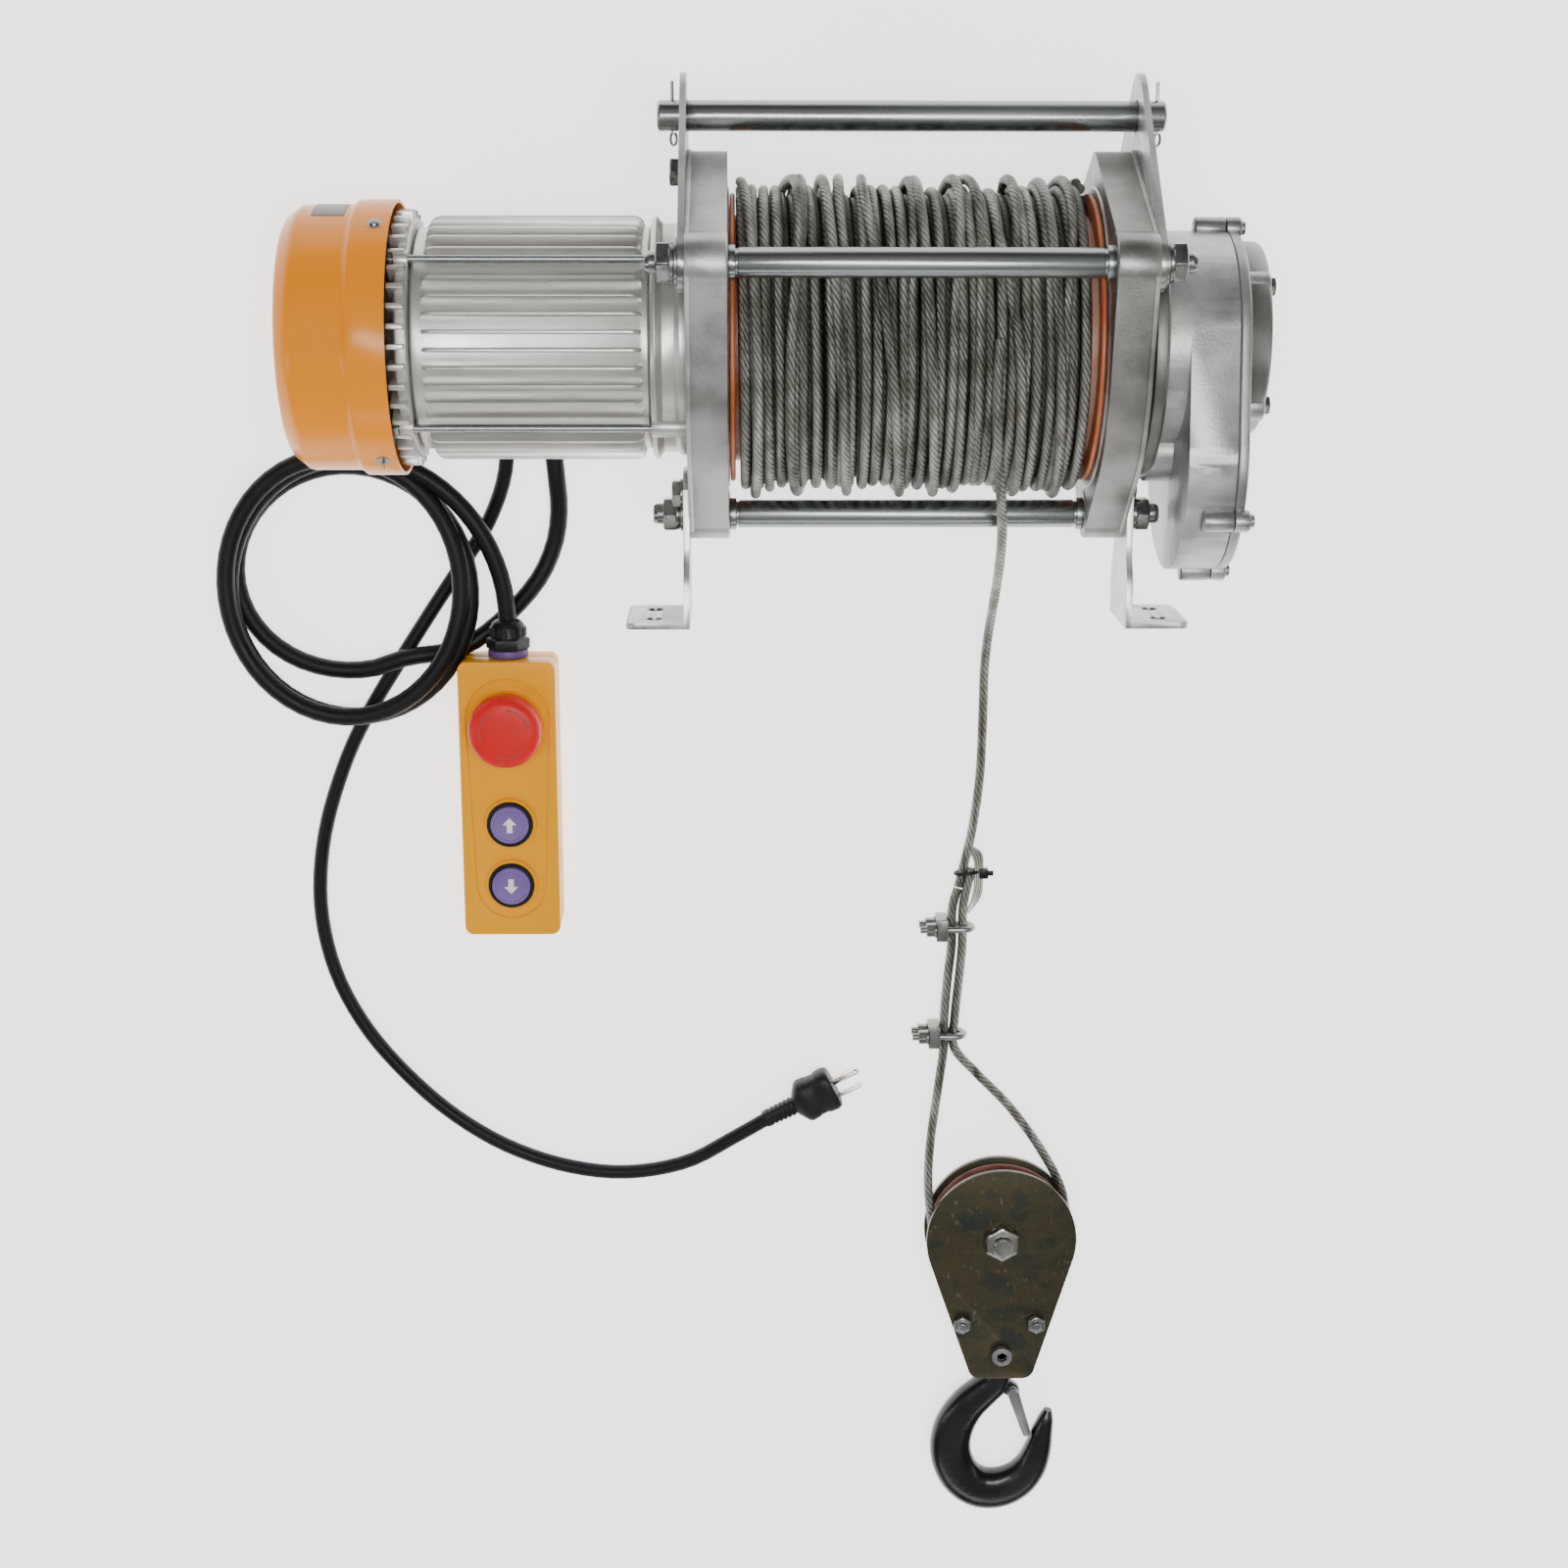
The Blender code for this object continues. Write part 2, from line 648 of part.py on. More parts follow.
def make_motor():
    pad_depth = AXIS_Z - MOTOR_PAD_Z
    bore = circle((0.0, AXIS_Z), STATOR_R + 0.0008, 32)
    make("motor_housing", prism("X", MOTOR_L, MOTOR_R, fin_outline(0.045, pad_depth), [bore]), BRIGHT_CAST)

    flange = ((MOTOR_R - 0.006, 0.050), (MOTOR_R - 0.006, STATOR_R), (MOTOR_R + GAP, STATOR_R), (MOTOR_R + GAP, 0.0725),
              (-0.1500, 0.0725), (-0.1500, 0.068), (-0.1440, 0.068), (-0.1440, FLANGE_R), (-SHEET_IN, FLANGE_R),
              (-SHEET_IN, SHAFT_R + 0.0005), (-0.1500, SHAFT_R + 0.0005), (-0.1500, 0.050))
    make("motor_front_flange", turned("X", (0.0, AXIS_Z), flange, 26, ring=True), BRIGHT_CAST)

    shield = ((MOTOR_L - GAP, SHAFT_R + 0.0005), (MOTOR_L - GAP, SHIELD_R), (-0.3070, SHIELD_R), (-0.3070, 0.062),
              (-0.3110, 0.062), (-0.3110, 0.056), (-0.3150, 0.056), (-0.3150, SHAFT_R + 0.0005))
    make("motor_rear_shield", turned("X", (0.0, AXIS_Z), shield, 26, ring=True), CAST)

    stator = ((-0.288, 0.0440), (-0.288, 0.0540), (-0.272, 0.0540), (-0.272, STATOR_R), (-0.188, STATOR_R),
              (-0.188, 0.0540), (-0.172, 0.0540), (-0.172, 0.0440), (-0.188, 0.0440), (-0.188, STATOR_BORE_R),
              (-0.272, STATOR_BORE_R), (-0.272, 0.0440))
    make("stator_core", turned("X", (0.0, AXIS_Z), stator, 20, ring=True), DARK_CAST)

    outside = ((COVER_R, COVER_RIM_R), (-0.331, COVER_RIM_R), (-0.333, COVER_BODY_R + 0.0005),
               (-0.367, COVER_BODY_R), (COVER_L + 0.0035, COVER_BODY_R - 0.004), (COVER_L, 0.068), (COVER_L, 0.0))
    inside = ((COVER_L + COVER_WALL, 0.0), (COVER_L + COVER_WALL, 0.067), (-0.366, COVER_BODY_R - COVER_WALL),
              (-0.333, COVER_BODY_R - COVER_WALL), (COVER_R, COVER_BODY_R - COVER_WALL))
    vents = []
    for k in range(7):
        angle = 2 * math.pi * (k + 0.5) / 7
        centre = (0.044 * math.cos(angle), AXIS_Z + 0.044 * math.sin(angle))
        vents.append(cylinder("X", COVER_L - 0.01, COVER_L + 0.01, centre, 0.0085, 8))
    make("fan_cover", turned("X", (0.0, AXIS_Z), outside + inside, 32, ring=True), YELLOW, cut=[merge(*vents)])

    shaft = ((SHAFT_L, SHAFT_R - 0.001), (SHAFT_L + 0.001, SHAFT_R), (-0.272, SHAFT_R), (-0.272, ROTOR_R),
             (-0.188, ROTOR_R), (-0.188, SHAFT_R), (SHAFT_RIGHT, SHAFT_R))
    pinion = gear_outline((0.0, AXIS_Z), PINION_TEETH, math.pi + math.pi / PINION_TEETH)
    make("rotor_shaft", turned("X", (0.0, AXIS_Z), shaft, 18), STEEL,
         add=[prism("X", *SHAFT_GEAR_X, pinion)], origin=(0.0, 0.0, AXIS_Z))

    hub = ((-0.343, SHAFT_R + GAP), (-0.343, 0.016), (-0.330, 0.016), (-0.330, 0.070), (-0.320, 0.070),
           (-0.320, 0.060), (-0.326, 0.058), (-0.326, 0.016), (-0.318, 0.016), (-0.318, SHAFT_R + GAP))
    blades = []
    for k in range(6):
        angle = math.pi * k / 3
        blade = box((-0.352, -0.0015, 0.022), (-0.3295, 0.0015, 0.064))
        bmesh.ops.rotate(blade, verts=blade.verts, cent=(0, 0, 0), matrix=Matrix.Rotation(angle, 3, "X"))
        bmesh.ops.translate(blade, verts=blade.verts, vec=(0, 0, AXIS_Z))
        blades.append(blade)
    make("brake_fan", turned("X", (0.0, AXIS_Z), hub, 20, ring=True), BLACK, add=[merge(*blades)],
         origin=(-0.330, 0.0, AXIS_Z))


def make_terminal_box():
    low = (BOX_X[0], -BOX_HALF_Y, 0.0)
    high = (BOX_X[1], BOX_HALF_Y, BOX_TOP)
    hollow = box((low[0] + BOX_WALL, low[1] + BOX_WALL, BOX_WALL),
                 (high[0] - BOX_WALL, high[1] - BOX_WALL, BOX_TOP + 0.01))
    glands = (("pendant_cable_gland", CABLE_GLAND), ("mains_cord_gland", CORD_GLAND))
    holes = [cylinder("Y", -BOX_HALF_Y - 0.01, -BOX_HALF_Y + 0.01, (z, x), 0.0083, 12) for _, (x, z) in glands]
    make("terminal_box", box(low, high), BLACK, cut=[hollow, merge(*holes)], smooth=False)
    for name, (x, z) in glands:
        face = -BOX_HALF_Y - GAP
        profile = ((face + 0.007, 0.0080), (face, 0.0080), (face, GLAND_R, 6), (face - 0.0080, GLAND_R, 6),
                   (face - 0.0080, 0.0102), (face - GLAND_LEN + 0.004, 0.0102), (face - GLAND_LEN + 0.0006, 0.0080),
                   (face - GLAND_LEN + 0.0006, 0.0035), (face + 0.007, 0.0035))
        make(name, turned("Y", (z, x), profile, 12, ring=True), BLACK)


# ---------------------------------------------------------------- gearbox

def lug_places():
    places = []
    for angle in (0, -68):
        turn = math.radians(angle)
        reach = BODY_TOP_R + 0.0015
        places.append((reach * math.cos(turn), AXIS_Z + reach * math.sin(turn)))
    for angle in (180, 118, -118):
        turn = math.radians(angle)
        reach = BODY_LOW_R + 0.0015
        places.append((COUNTER_Y + reach * math.cos(turn), AXIS_Z + reach * math.sin(turn)))
    return places


def make_gearbox():
    shape = band(((0.0, AXIS_Z, BODY_TOP_R), (COUNTER_Y, AXIS_Z, BODY_LOW_R)), 40)
    ring = turned("X", (0.0, AXIS_Z), ((SHEET_IN, SPIGOT_R), (SHEET_OUT + GAP, SPIGOT_R), (SHEET_OUT + GAP, RING_R),
                                       (RING_X, RING_R)), 32)
    neck = cylinder("X", 0.1463, LOWER_X + 0.001, (0.0, AXIS_Z), BODY_TOP_R, 36)
    pivot_boss = cylinder("X", 0.1463, LOWER_X + 0.001, (COUNTER_Y, AXIS_Z), 0.0200, 20)
    lugs = [cylinder("X", LUG_X, SEAM_X, place_at, LUG_R, 10) for place_at in lug_places()]
    drum_space = cylinder("X", 0.1503, 0.1700, (0.0, AXIS_Z), 0.0605, 36)
    pinion_space = cylinder("X", 0.1503, 0.1700, (COUNTER_Y, AXIS_Z), 0.0155, 20)
    gear_space = prism("X", 0.1690, SEAM_X + 0.01,
                       band(((0.0, AXIS_Z, 0.0605), (COUNTER_Y, AXIS_Z, 0.0650)), 24))
    neck_bore = cylinder("X", SHEET_IN - 0.01, 0.16, (0.0, AXIS_Z), GEAR_SEAT_R + 0.0008, 24)
    pivot = cylinder("X", 0.1405, 0.16, (COUNTER_Y, AXIS_Z), 0.0064, 14)
    make("gearbox_housing", prism("X", LOWER_X, SEAM_X, shape), BRIGHT_CAST,
         add=[neck, pivot_boss, ring, merge(*lugs)],
         cut=[drum_space, pinion_space, gear_space, merge(neck_bore, pivot)])

    seam = SEAM_X + GAP
    cap = turned("X", (0.0, AXIS_Z), ((COVER_X - 0.001, BEARING_HOUSING_R), (HOUSING_X - 0.002, BEARING_HOUSING_R),
                                      (HOUSING_X, BEARING_HOUSING_R - 0.002)), 30)
    boss = cylinder("X", COVER_X - 0.001, 0.209, (-0.0755, AXIS_Z), 0.0155, 16)
    bolts = []
    for angle in (47, 133, 227, 313):
        turn = math.radians(angle)
        centre = (0.0515 * math.cos(turn) - 0.002, AXIS_Z + 0.0515 * math.sin(turn))
        bolts.append(cylinder("X", COVER_X - 0.001, 0.2165, centre, 0.0095, 10))
    lugs = [cylinder("X", seam, 0.2020, place_at, LUG_R, 10) for place_at in lug_places()]
    shaft_bore = cylinder("X", seam - 0.01, SHAFT_RIGHT + 0.0005, (0.0, AXIS_Z), SHAFT_R + GAP, 16)
    pivot = cylinder("X", seam - 0.01, 0.1973, (COUNTER_Y, AXIS_Z), 0.0064, 14)
    make("gearbox_cover", prism("X", seam, COVER_X, shape), CAST,
         add=[cap, boss, merge(*bolts), merge(*lugs)], cut=[merge(shaft_bore, pivot)])
    make("bearing_cap", turned("X", (0.0, AXIS_Z), ((HOUSING_X + GAP, 0.040), (0.2155, 0.040), (0.2165, 0.039)), 28),
         DARK_CAST)

    pinion = gear_outline((COUNTER_Y, AXIS_Z), PINION_TEETH, math.pi / PINION_TEETH)
    shaft = ((0.1411, 0.0060), (0.1515, 0.0060), (0.1515, 0.0080), (0.1872, 0.0080), (0.1872, 0.0060), (0.1968, 0.0060))
    make("countershaft", turned("X", (COUNTER_Y, AXIS_Z), shaft, 14), STEEL,
         add=[prism("X", DRUM_GEAR_X[0] - 0.0008, DRUM_GEAR_X[1] + 0.0008, pinion)],
         origin=(0.0, COUNTER_Y, AXIS_Z))
    wheel = gear_outline((COUNTER_Y, AXIS_Z), GEAR_TEETH, 0.0)
    bore = circle((COUNTER_Y, AXIS_Z), 0.0084, 14)
    make("intermediate_gear", prism("X", *SHAFT_GEAR_X, wheel, [bore]), STEEL, origin=(0.0, COUNTER_Y, AXIS_Z),
         smooth=False)
    wheel = gear_outline((0.0, AXIS_Z), GEAR_TEETH, math.pi)
    bore = circle((0.0, AXIS_Z), GEAR_SEAT_R + 0.0005, 24)
    make("drum_gear", prism("X", *DRUM_GEAR_X, wheel, [bore]), STEEL, origin=(0.0, 0.0, AXIS_Z), smooth=False)


# ---------------------------------------------------------------- drum and rope

def make_drum():
    flange = DRUM_HALF - DRUM_FLANGE_T
    outer = ((-0.1335, DRUM_BORE_R), (-0.1335, JOURNAL_R), (-DRUM_HALF, JOURNAL_R), (-DRUM_HALF, DRUM_FLANGE_R),
             (-flange, DRUM_FLANGE_R), (-flange, BARREL_R), (flange, BARREL_R), (flange, DRUM_FLANGE_R),
             (DRUM_HALF, DRUM_FLANGE_R), (DRUM_HALF, JOURNAL_R), (0.1350, JOURNAL_R), (0.1350, GEAR_SEAT_R),
             (0.1680, GEAR_SEAT_R), (0.1680, DRUM_BORE_R))
    hollow = turned("X", (0.0, AXIS_Z), ((-0.1035, 0.020), (-0.1035, BARREL_R - BARREL_WALL),
                                         (0.1035, BARREL_R - BARREL_WALL), (0.1035, 0.020)), 20, ring=True)
    holes = []
    for k in range(3):
        angle = 2 * math.pi * k / 3
        centre = (0.050 * math.cos(angle), AXIS_Z + 0.050 * math.sin(angle))
        holes.append(cylinder("X", -0.115, 0.115, centre, 0.012, 8))
    make("drum", turned("X", (0.0, AXIS_Z), outer, 28, ring=True), ORANGE, cut=[hollow, merge(*holes)],
         origin=(0.0, 0.0, AXIS_Z))

    turns = 8
    half = flange - GAP
    profile = [(-half, BARREL_R + GAP)]
    for k in range(turns):
        start = -half + 2 * half * k / turns
        profile += [(start + 0.0004, WINDING_R - 0.0035), (start + half / turns, WINDING_R)]
    profile += [(half - 0.0004, WINDING_R - 0.0035), (half, BARREL_R + GAP)]
    make("rope_winding", turned("X", (0.0, AXIS_Z), profile, 28, ring=True), ROPE_STEEL, origin=(0.0, 0.0, AXIS_Z))


def make_rope():
    tube("rope_fall", FALL_ROUTE, ROPE_D, ROPE_STEEL, 0.016)
    arc = []
    reach = GROOVE_R + ROPE_D / 2 + 0.0006
    for k in range(10):
        angle = math.pi * (1 + k / 9)
        arc.append((BLOCK[0] + reach * math.cos(angle), BLOCK[1] + reach * math.sin(angle), BLOCK_Z))
    tube("rope_loop", LEFT_LEG_ROUTE + tuple(arc) + RIGHT_LEG_ROUTE, ROPE_D, ROPE_STEEL, 0.0145)
    for name, (live, dead, y, z) in (("rope_clip_upper", UPPER_CLIP), ("rope_clip_lower", LOWER_CLIP)):
        bend = 0.0064
        thick = 0.0025
        path = [(live - 0.0225, -bend)] + [(dead, -bend)]
        path += [(dead + bend * math.sin(math.pi * k / 8), -bend * math.cos(math.pi * k / 8)) for k in range(1, 8)]
        path += [(dead, bend), (live - 0.0225, bend)]
        sections = []
        for i, (x, dz) in enumerate(path):
            back = Vector(path[max(i - 1, 0)])
            ahead = Vector(path[min(i + 1, len(path) - 1)])
            along = (ahead - back).normalized()
            side = Vector((-along.y, 0, along.x))
            middle = Vector((x, y, z + dz))
            turns = [2 * math.pi * (k + 0.5) / 8 for k in range(8)]
            sections.append([middle + thick * (side * math.cos(t) + Vector((0, math.sin(t), 0))) for t in turns])
        saddle = box((live - 0.0115, y - 0.008, z - 0.0096), (live - ROPE_D / 2 - 0.0004, y + 0.008, z + 0.0096))
        nuts = [turned("X", (y, z + dz), ((live - 0.0185, 0.0042, 6), (live - 0.0110, 0.0042, 6)), 12)
                for dz in (-bend, bend)]
        make(name, loft(sections), ZINC, add=[saddle, merge(*nuts)])


# ---------------------------------------------------------------- hook block

def make_block():
    tip_x = BLOCK[0] + 0.002
    corner_y = SIDE_END_Y + SIDE_CORNER_R
    corner_x = SIDE_END_HALF - SIDE_CORNER_R
    outline = band(((*BLOCK, SIDE_R), (tip_x - corner_x, corner_y, SIDE_CORNER_R),
                    (tip_x + corner_x, corner_y, SIDE_CORNER_R)), 36)
    pivot_y = (CROSSHEAD_Y[0] + CROSSHEAD_Y[1]) / 2
    holes = [circle(BLOCK, AXLE_R + GAP, 16), circle((tip_x, pivot_y), 0.0064, 12)]
    for name, low in (("block_plate_back", BLOCK_Z - 0.0145), ("block_plate_front", BLOCK_Z + 0.0105)):
        make(name, prism("Z", low, low + SIDE_T, outline, holes), ZINC_YELLOW)

    axle = ((0.0, AXLE_AF / 2, 6), (0.0052, AXLE_AF / 2, 6), (0.0052, AXLE_R), (0.0348, AXLE_R),
            (0.0348, AXLE_AF / 2, 6), (0.0418, AXLE_AF / 2, 6), (0.0418, AXLE_R - 0.001), (0.0460, AXLE_R - 0.001))
    make("sheave_axle", turned("Z", BLOCK, axle, 12), ZINC)

    half = ((SHEAVE_HALF, AXLE_R + GAP), (SHEAVE_HALF, 0.016), (0.006, 0.018), (0.006, 0.036),
            (SHEAVE_HALF, 0.038), (SHEAVE_HALF, SHEAVE_R), (0.0065, SHEAVE_R),
            (0.0042, GROOVE_R - GAP))
    profile = [(BLOCK_Z + z, r) for z, r in half] + [(BLOCK_Z - z, r) for z, r in reversed(half)]
    make("sheave", turned("Z", BLOCK, profile, 28, ring=True), MAROON, origin=(*BLOCK, BLOCK_Z))

    low = (tip_x - 0.020, CROSSHEAD_Y[0], BLOCK_Z - 0.0102)
    high = (tip_x + 0.020, CROSSHEAD_Y[1], BLOCK_Z + 0.0102)
    pin = cylinder("Z", BLOCK_Z - 0.0144, BLOCK_Z + 0.0160, (tip_x, pivot_y), 0.0060, 12)
    bore = cylinder("Y", CROSSHEAD_Y[0] - 0.01, CROSSHEAD_Y[1] + 0.01, (BLOCK_Z, tip_x), SHANK_R + 0.0005, 16)
    make("hook_crosshead", box(low, high), DARK_CAST, add=[pin], cut=[bore], smooth=False)


LATCH_PIVOT = (0.0930, -0.7640)


def make_hook():
    x = BLOCK[0] + 0.002
    path = (
        (x, CROSSHEAD_Y[1] + 0.0145, 0.0085, 0.0085), (x, CROSSHEAD_Y[1] + 0.0135, 0.0100, 0.0100),
        (x, CROSSHEAD_Y[1] + 0.0003, 0.0100, 0.0100), (x, CROSSHEAD_Y[1] + 0.0002, SHANK_R, SHANK_R),
        (x, CROSSHEAD_Y[0] - 0.0003, SHANK_R, SHANK_R), (x, CROSSHEAD_Y[0] - 0.0004, 0.0098, 0.0098),
        (x, -0.7500, 0.0098, 0.0098), (0.0795, -0.7580, 0.0108, 0.0098), (0.0710, -0.7660, 0.0120, 0.0100),
        (0.0605, -0.7765, 0.0132, 0.0104), (0.0520, -0.7910, 0.0144, 0.0107), (0.0485, -0.8070, 0.0150, 0.0110),
        (0.0510, -0.8230, 0.0152, 0.0110), (0.0590, -0.8365, 0.0154, 0.0110), (0.0715, -0.8440, 0.0155, 0.0110),
        (0.0860, -0.8440, 0.0150, 0.0108), (0.0990, -0.8375, 0.0136, 0.0105), (0.1080, -0.8265, 0.0118, 0.0100),
        (0.1130, -0.8130, 0.0100, 0.0092), (0.1160, -0.7990, 0.0078, 0.0080), (0.1185, -0.7880, 0.0055, 0.0062),
        (0.1200, -0.7810, 0.0030, 0.0036),
    )
    spine = [(px, py, BLOCK_Z, width, height) for px, py, width, height in path]
    ear = prism("Z", BLOCK_Z - 0.003, BLOCK_Z + 0.003, band(((*LATCH_PIVOT, 0.0050), (0.0800, -0.7560, 0.0060)), 20),
                [circle(LATCH_PIVOT, 0.0023, 12)])
    make("hook", sweep(spine, 12), FORGED_BLACK, add=[ear], origin=(x, HOOK_BOWL[1], BLOCK_Z))

    arm = prism("Z", BLOCK_Z - 0.0048, BLOCK_Z + 0.0048,
                band(((*LATCH_PIVOT, 0.0042), (0.1040, -0.7975, 0.0030)), 24))
    slot = cylinder("Z", BLOCK_Z - 0.0033, BLOCK_Z + 0.0033, LATCH_PIVOT, 0.0080, 24)
    make("hook_latch", arm, ZINC, cut=[slot], origin=(*LATCH_PIVOT, BLOCK_Z))


# ---------------------------------------------------------------- pendant, coil, cords and plug

def pendant_outline(inset, radius):
    half_x = PENDANT_HALF_X - inset - radius
    half_y = PENDANT_HALF_Y - inset - radius
    corners = [(PENDANT[0] + a * half_x, PENDANT[1] + b * half_y, radius) for a in (-1, 1) for b in (-1, 1)]
    return band(corners, 16)


def make_pendant():
    split = PENDANT_SPLIT
    outer = pendant_outline(0.0, 0.006)
    inner = pendant_outline(PENDANT_WALL, 0.004)
    roof = PENDANT_TOP - PENDANT_WALL
    x = PENDANT[0]
    hollow = prism("Z", split - 0.01, roof, inner)
    recess = prism("Z", PENDANT_TOP - 0.0012, PENDANT_TOP + 0.01,
                   band(((x, STOP_Y + 0.004, 0.0285), (x, DOWN_Y, 0.0235)), 28))
    openings = [cylinder("Z", split, PENDANT_TOP + 0.01, (x, y), r, 20)
                for y, r in ((STOP_Y, 0.0115), (UP_Y, BUTTON_R + 0.0004), (DOWN_Y, BUTTON_R + 0.0004))]
    front = prism("Z", split + GAP / 2, PENDANT_TOP, outer)
    make("pendant_front", front, YELLOW, cut=[hollow, recess, merge(*openings)])
    back = prism("Z", 0.0, split - GAP / 2, outer)
    make("pendant_back", back, YELLOW, cut=[prism("Z", PENDANT_WALL, split + 0.01, inner)])

    flange_z = roof - 0.0005
    for name, y in (("up_button", UP_Y), ("down_button", DOWN_Y)):
        profile = ((flange_z - 0.010, 0.005), (flange_z - 0.002, 0.005), (flange_z - 0.002, BUTTON_R + 0.0015),
                   (flange_z, BUTTON_R + 0.0015), (flange_z, BUTTON_R), (BUTTON_TOP - 0.001, BUTTON_R),
                   (BUTTON_TOP, BUTTON_R - 0.001))
        make(name, turned("Z", (x, y), profile, 20), LAVENDER, origin=(x, y, PENDANT_TOP))
    profile = ((flange_z - 0.008, 0.013), (flange_z, 0.013), (flange_z, 0.011), (STOP_Z[0], 0.011),
               (STOP_Z[0], STOP_R - 0.001), (STOP_Z[0] + 0.001, STOP_R), (STOP_Z[1] - 0.008, STOP_R),
               (STOP_Z[1] - 0.002, STOP_R - 0.006), (STOP_Z[1], STOP_R - 0.014))
    make("stop_button", turned("Z", (x, STOP_Y), profile, 24), RED, origin=(x, STOP_Y, PENDANT_TOP))

    top = PENDANT[1] + PENDANT_HALF_Y + GAP
    profile = ((top, 0.0135), (top + 0.006, 0.0150), (top + 0.006, 0.0125, 6), (top + 0.0145, 0.0125, 6),
               (top + 0.0145, 0.0105), (top + 0.0220, 0.0095), (top + 0.0250, 0.0078))
    make("pendant_gland", turned("Y", (PENDANT_SPLIT, x), profile, 18), BLACK)


def make_coil():
    bottom = COIL_OUT_R * math.sin(COIL_TILT) + GAP
    chamfer = 0.006
    profile = ((0.0, COIL_IN_R + chamfer), (chamfer, COIL_IN_R), (COIL_H - chamfer, COIL_IN_R),
               (COIL_H, COIL_IN_R + chamfer), (COIL_H, COIL_OUT_R - chamfer), (COIL_H - chamfer, COIL_OUT_R),
               (chamfer, COIL_OUT_R), (0.0, COIL_OUT_R - chamfer))
    ring = turned("Z", (0.0, 0.0), profile, 28, ring=True)
    hinge = (math.sin(COIL_HIGH_SIDE), -math.cos(COIL_HIGH_SIDE), 0.0)
    bmesh.ops.rotate(ring, verts=ring.verts, cent=(0, 0, 0), matrix=Matrix.Rotation(COIL_TILT, 3, hinge))
    bmesh.ops.translate(ring, verts=ring.verts, vec=(*COIL_CENTRE, bottom))
    make("pendant_cable_coil", ring, RUBBER)


def make_plug():
    along = Vector((math.cos(PLUG_ANGLE), math.sin(PLUG_ANGLE), 0.0))
    path = []
    for run, width, height in ((0.0, 0.0052, 0.0052), (0.012, 0.0056, 0.0056), (0.012, 0.0072, 0.0066),
                               (0.020, 0.0105, 0.0085), (0.025, 0.0150, 0.0112), (0.046, 0.0155, 0.0117),
                               (0.051, 0.0135, 0.0112)):
        point = Vector((*PLUG, 0.012)) + along * run
        path.append((*point, width, height))
    blades = []
    for low, high in (((0.049, 0.0056, 0.0130), (0.069, 0.0071, 0.0190)),
                      ((0.049, -0.0071, 0.0130), (0.069, -0.0056, 0.0190))):
        blades.append(box(low, high))
    blades.append(cylinder("X", 0.049, 0.0705, (0.0, 0.0045), 0.0024, 10))
    metal = merge(*blades)
    bmesh.ops.rotate(metal, verts=metal.verts, cent=(0, 0, 0), matrix=Matrix.Rotation(PLUG_ANGLE, 3, "Z"))
    bmesh.ops.translate(metal, verts=metal.verts, vec=(*PLUG, 0.0))
    make("mains_plug", sweep(path, 16, 0.6), RUBBER, add=[metal])


def make_cords():
    tube("pendant_cable", CABLE_ROUTE, CABLE_D, RUBBER, 0.016)
    tube("pendant_cable_end", CABLE_END_ROUTE, CABLE_D, RUBBER, 0.016)
    tube("mains_cord", CORD_ROUTE, CORD_D, RUBBER, 0.022)


def main():
    for thing in list(bpy.data.objects):
        bpy.data.objects.remove(thing, do_unlink=True)
    make_plates()
    make_rods()
    make_straps()
    make_feet()
    make_motor()
    make_terminal_box()
    make_gearbox()
    make_drum()
    make_rope()
    make_block()
    make_hook()
    make_pendant()
    make_coil()
    make_plug()
    make_cords()
    for thing in bpy.data.objects:
        thing.location.x += DRUM_FROM_ORIGIN


main()
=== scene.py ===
"""Looks of the electric wire rope hoist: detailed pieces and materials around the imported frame."""

import math

import bmesh
import bpy
from mathutils import Matrix, Vector, noise
from mathutils.geometry import convex_hull_2d, tessellate_polygon


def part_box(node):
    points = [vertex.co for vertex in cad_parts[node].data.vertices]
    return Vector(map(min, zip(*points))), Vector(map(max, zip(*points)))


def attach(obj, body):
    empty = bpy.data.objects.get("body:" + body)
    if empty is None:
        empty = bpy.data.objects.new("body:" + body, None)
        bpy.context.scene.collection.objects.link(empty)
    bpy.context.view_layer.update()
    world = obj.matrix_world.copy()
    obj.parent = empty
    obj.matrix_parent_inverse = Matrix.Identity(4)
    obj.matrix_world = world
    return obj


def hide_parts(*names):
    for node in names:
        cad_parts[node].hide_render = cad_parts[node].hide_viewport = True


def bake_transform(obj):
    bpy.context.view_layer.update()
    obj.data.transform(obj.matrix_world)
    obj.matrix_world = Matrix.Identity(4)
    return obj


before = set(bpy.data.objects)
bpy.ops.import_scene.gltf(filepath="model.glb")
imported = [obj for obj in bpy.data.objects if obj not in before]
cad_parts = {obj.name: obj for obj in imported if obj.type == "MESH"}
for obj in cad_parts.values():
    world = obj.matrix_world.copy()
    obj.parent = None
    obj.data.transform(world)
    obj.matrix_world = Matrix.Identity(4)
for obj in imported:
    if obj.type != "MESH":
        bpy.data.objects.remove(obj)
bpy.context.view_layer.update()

# Shapes are written from the middle of the drum's barrel, and stand this far from the frame's origin.
DRUM_SHIFT = Vector((sum(corner[0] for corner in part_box("rope_winding")) / 2, 0.0, 0.0))
AXIS_Z = sum(corner[2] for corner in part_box("rope_winding")) / 2
# The line that the motor, the drum and the gearbox share, for pieces turned about X.
MOTOR_LINE = (0.0, AXIS_Z)
# What keeps two touching faces apart.
GAP = 0.0003


def middle(node):
    """The middle of a node's box, with X from the middle of the drum."""
    low, high = (Vector(corner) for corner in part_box(node))
    return (low + high) / 2 - DRUM_SHIFT


# ---------------------------------------------------------------- camera

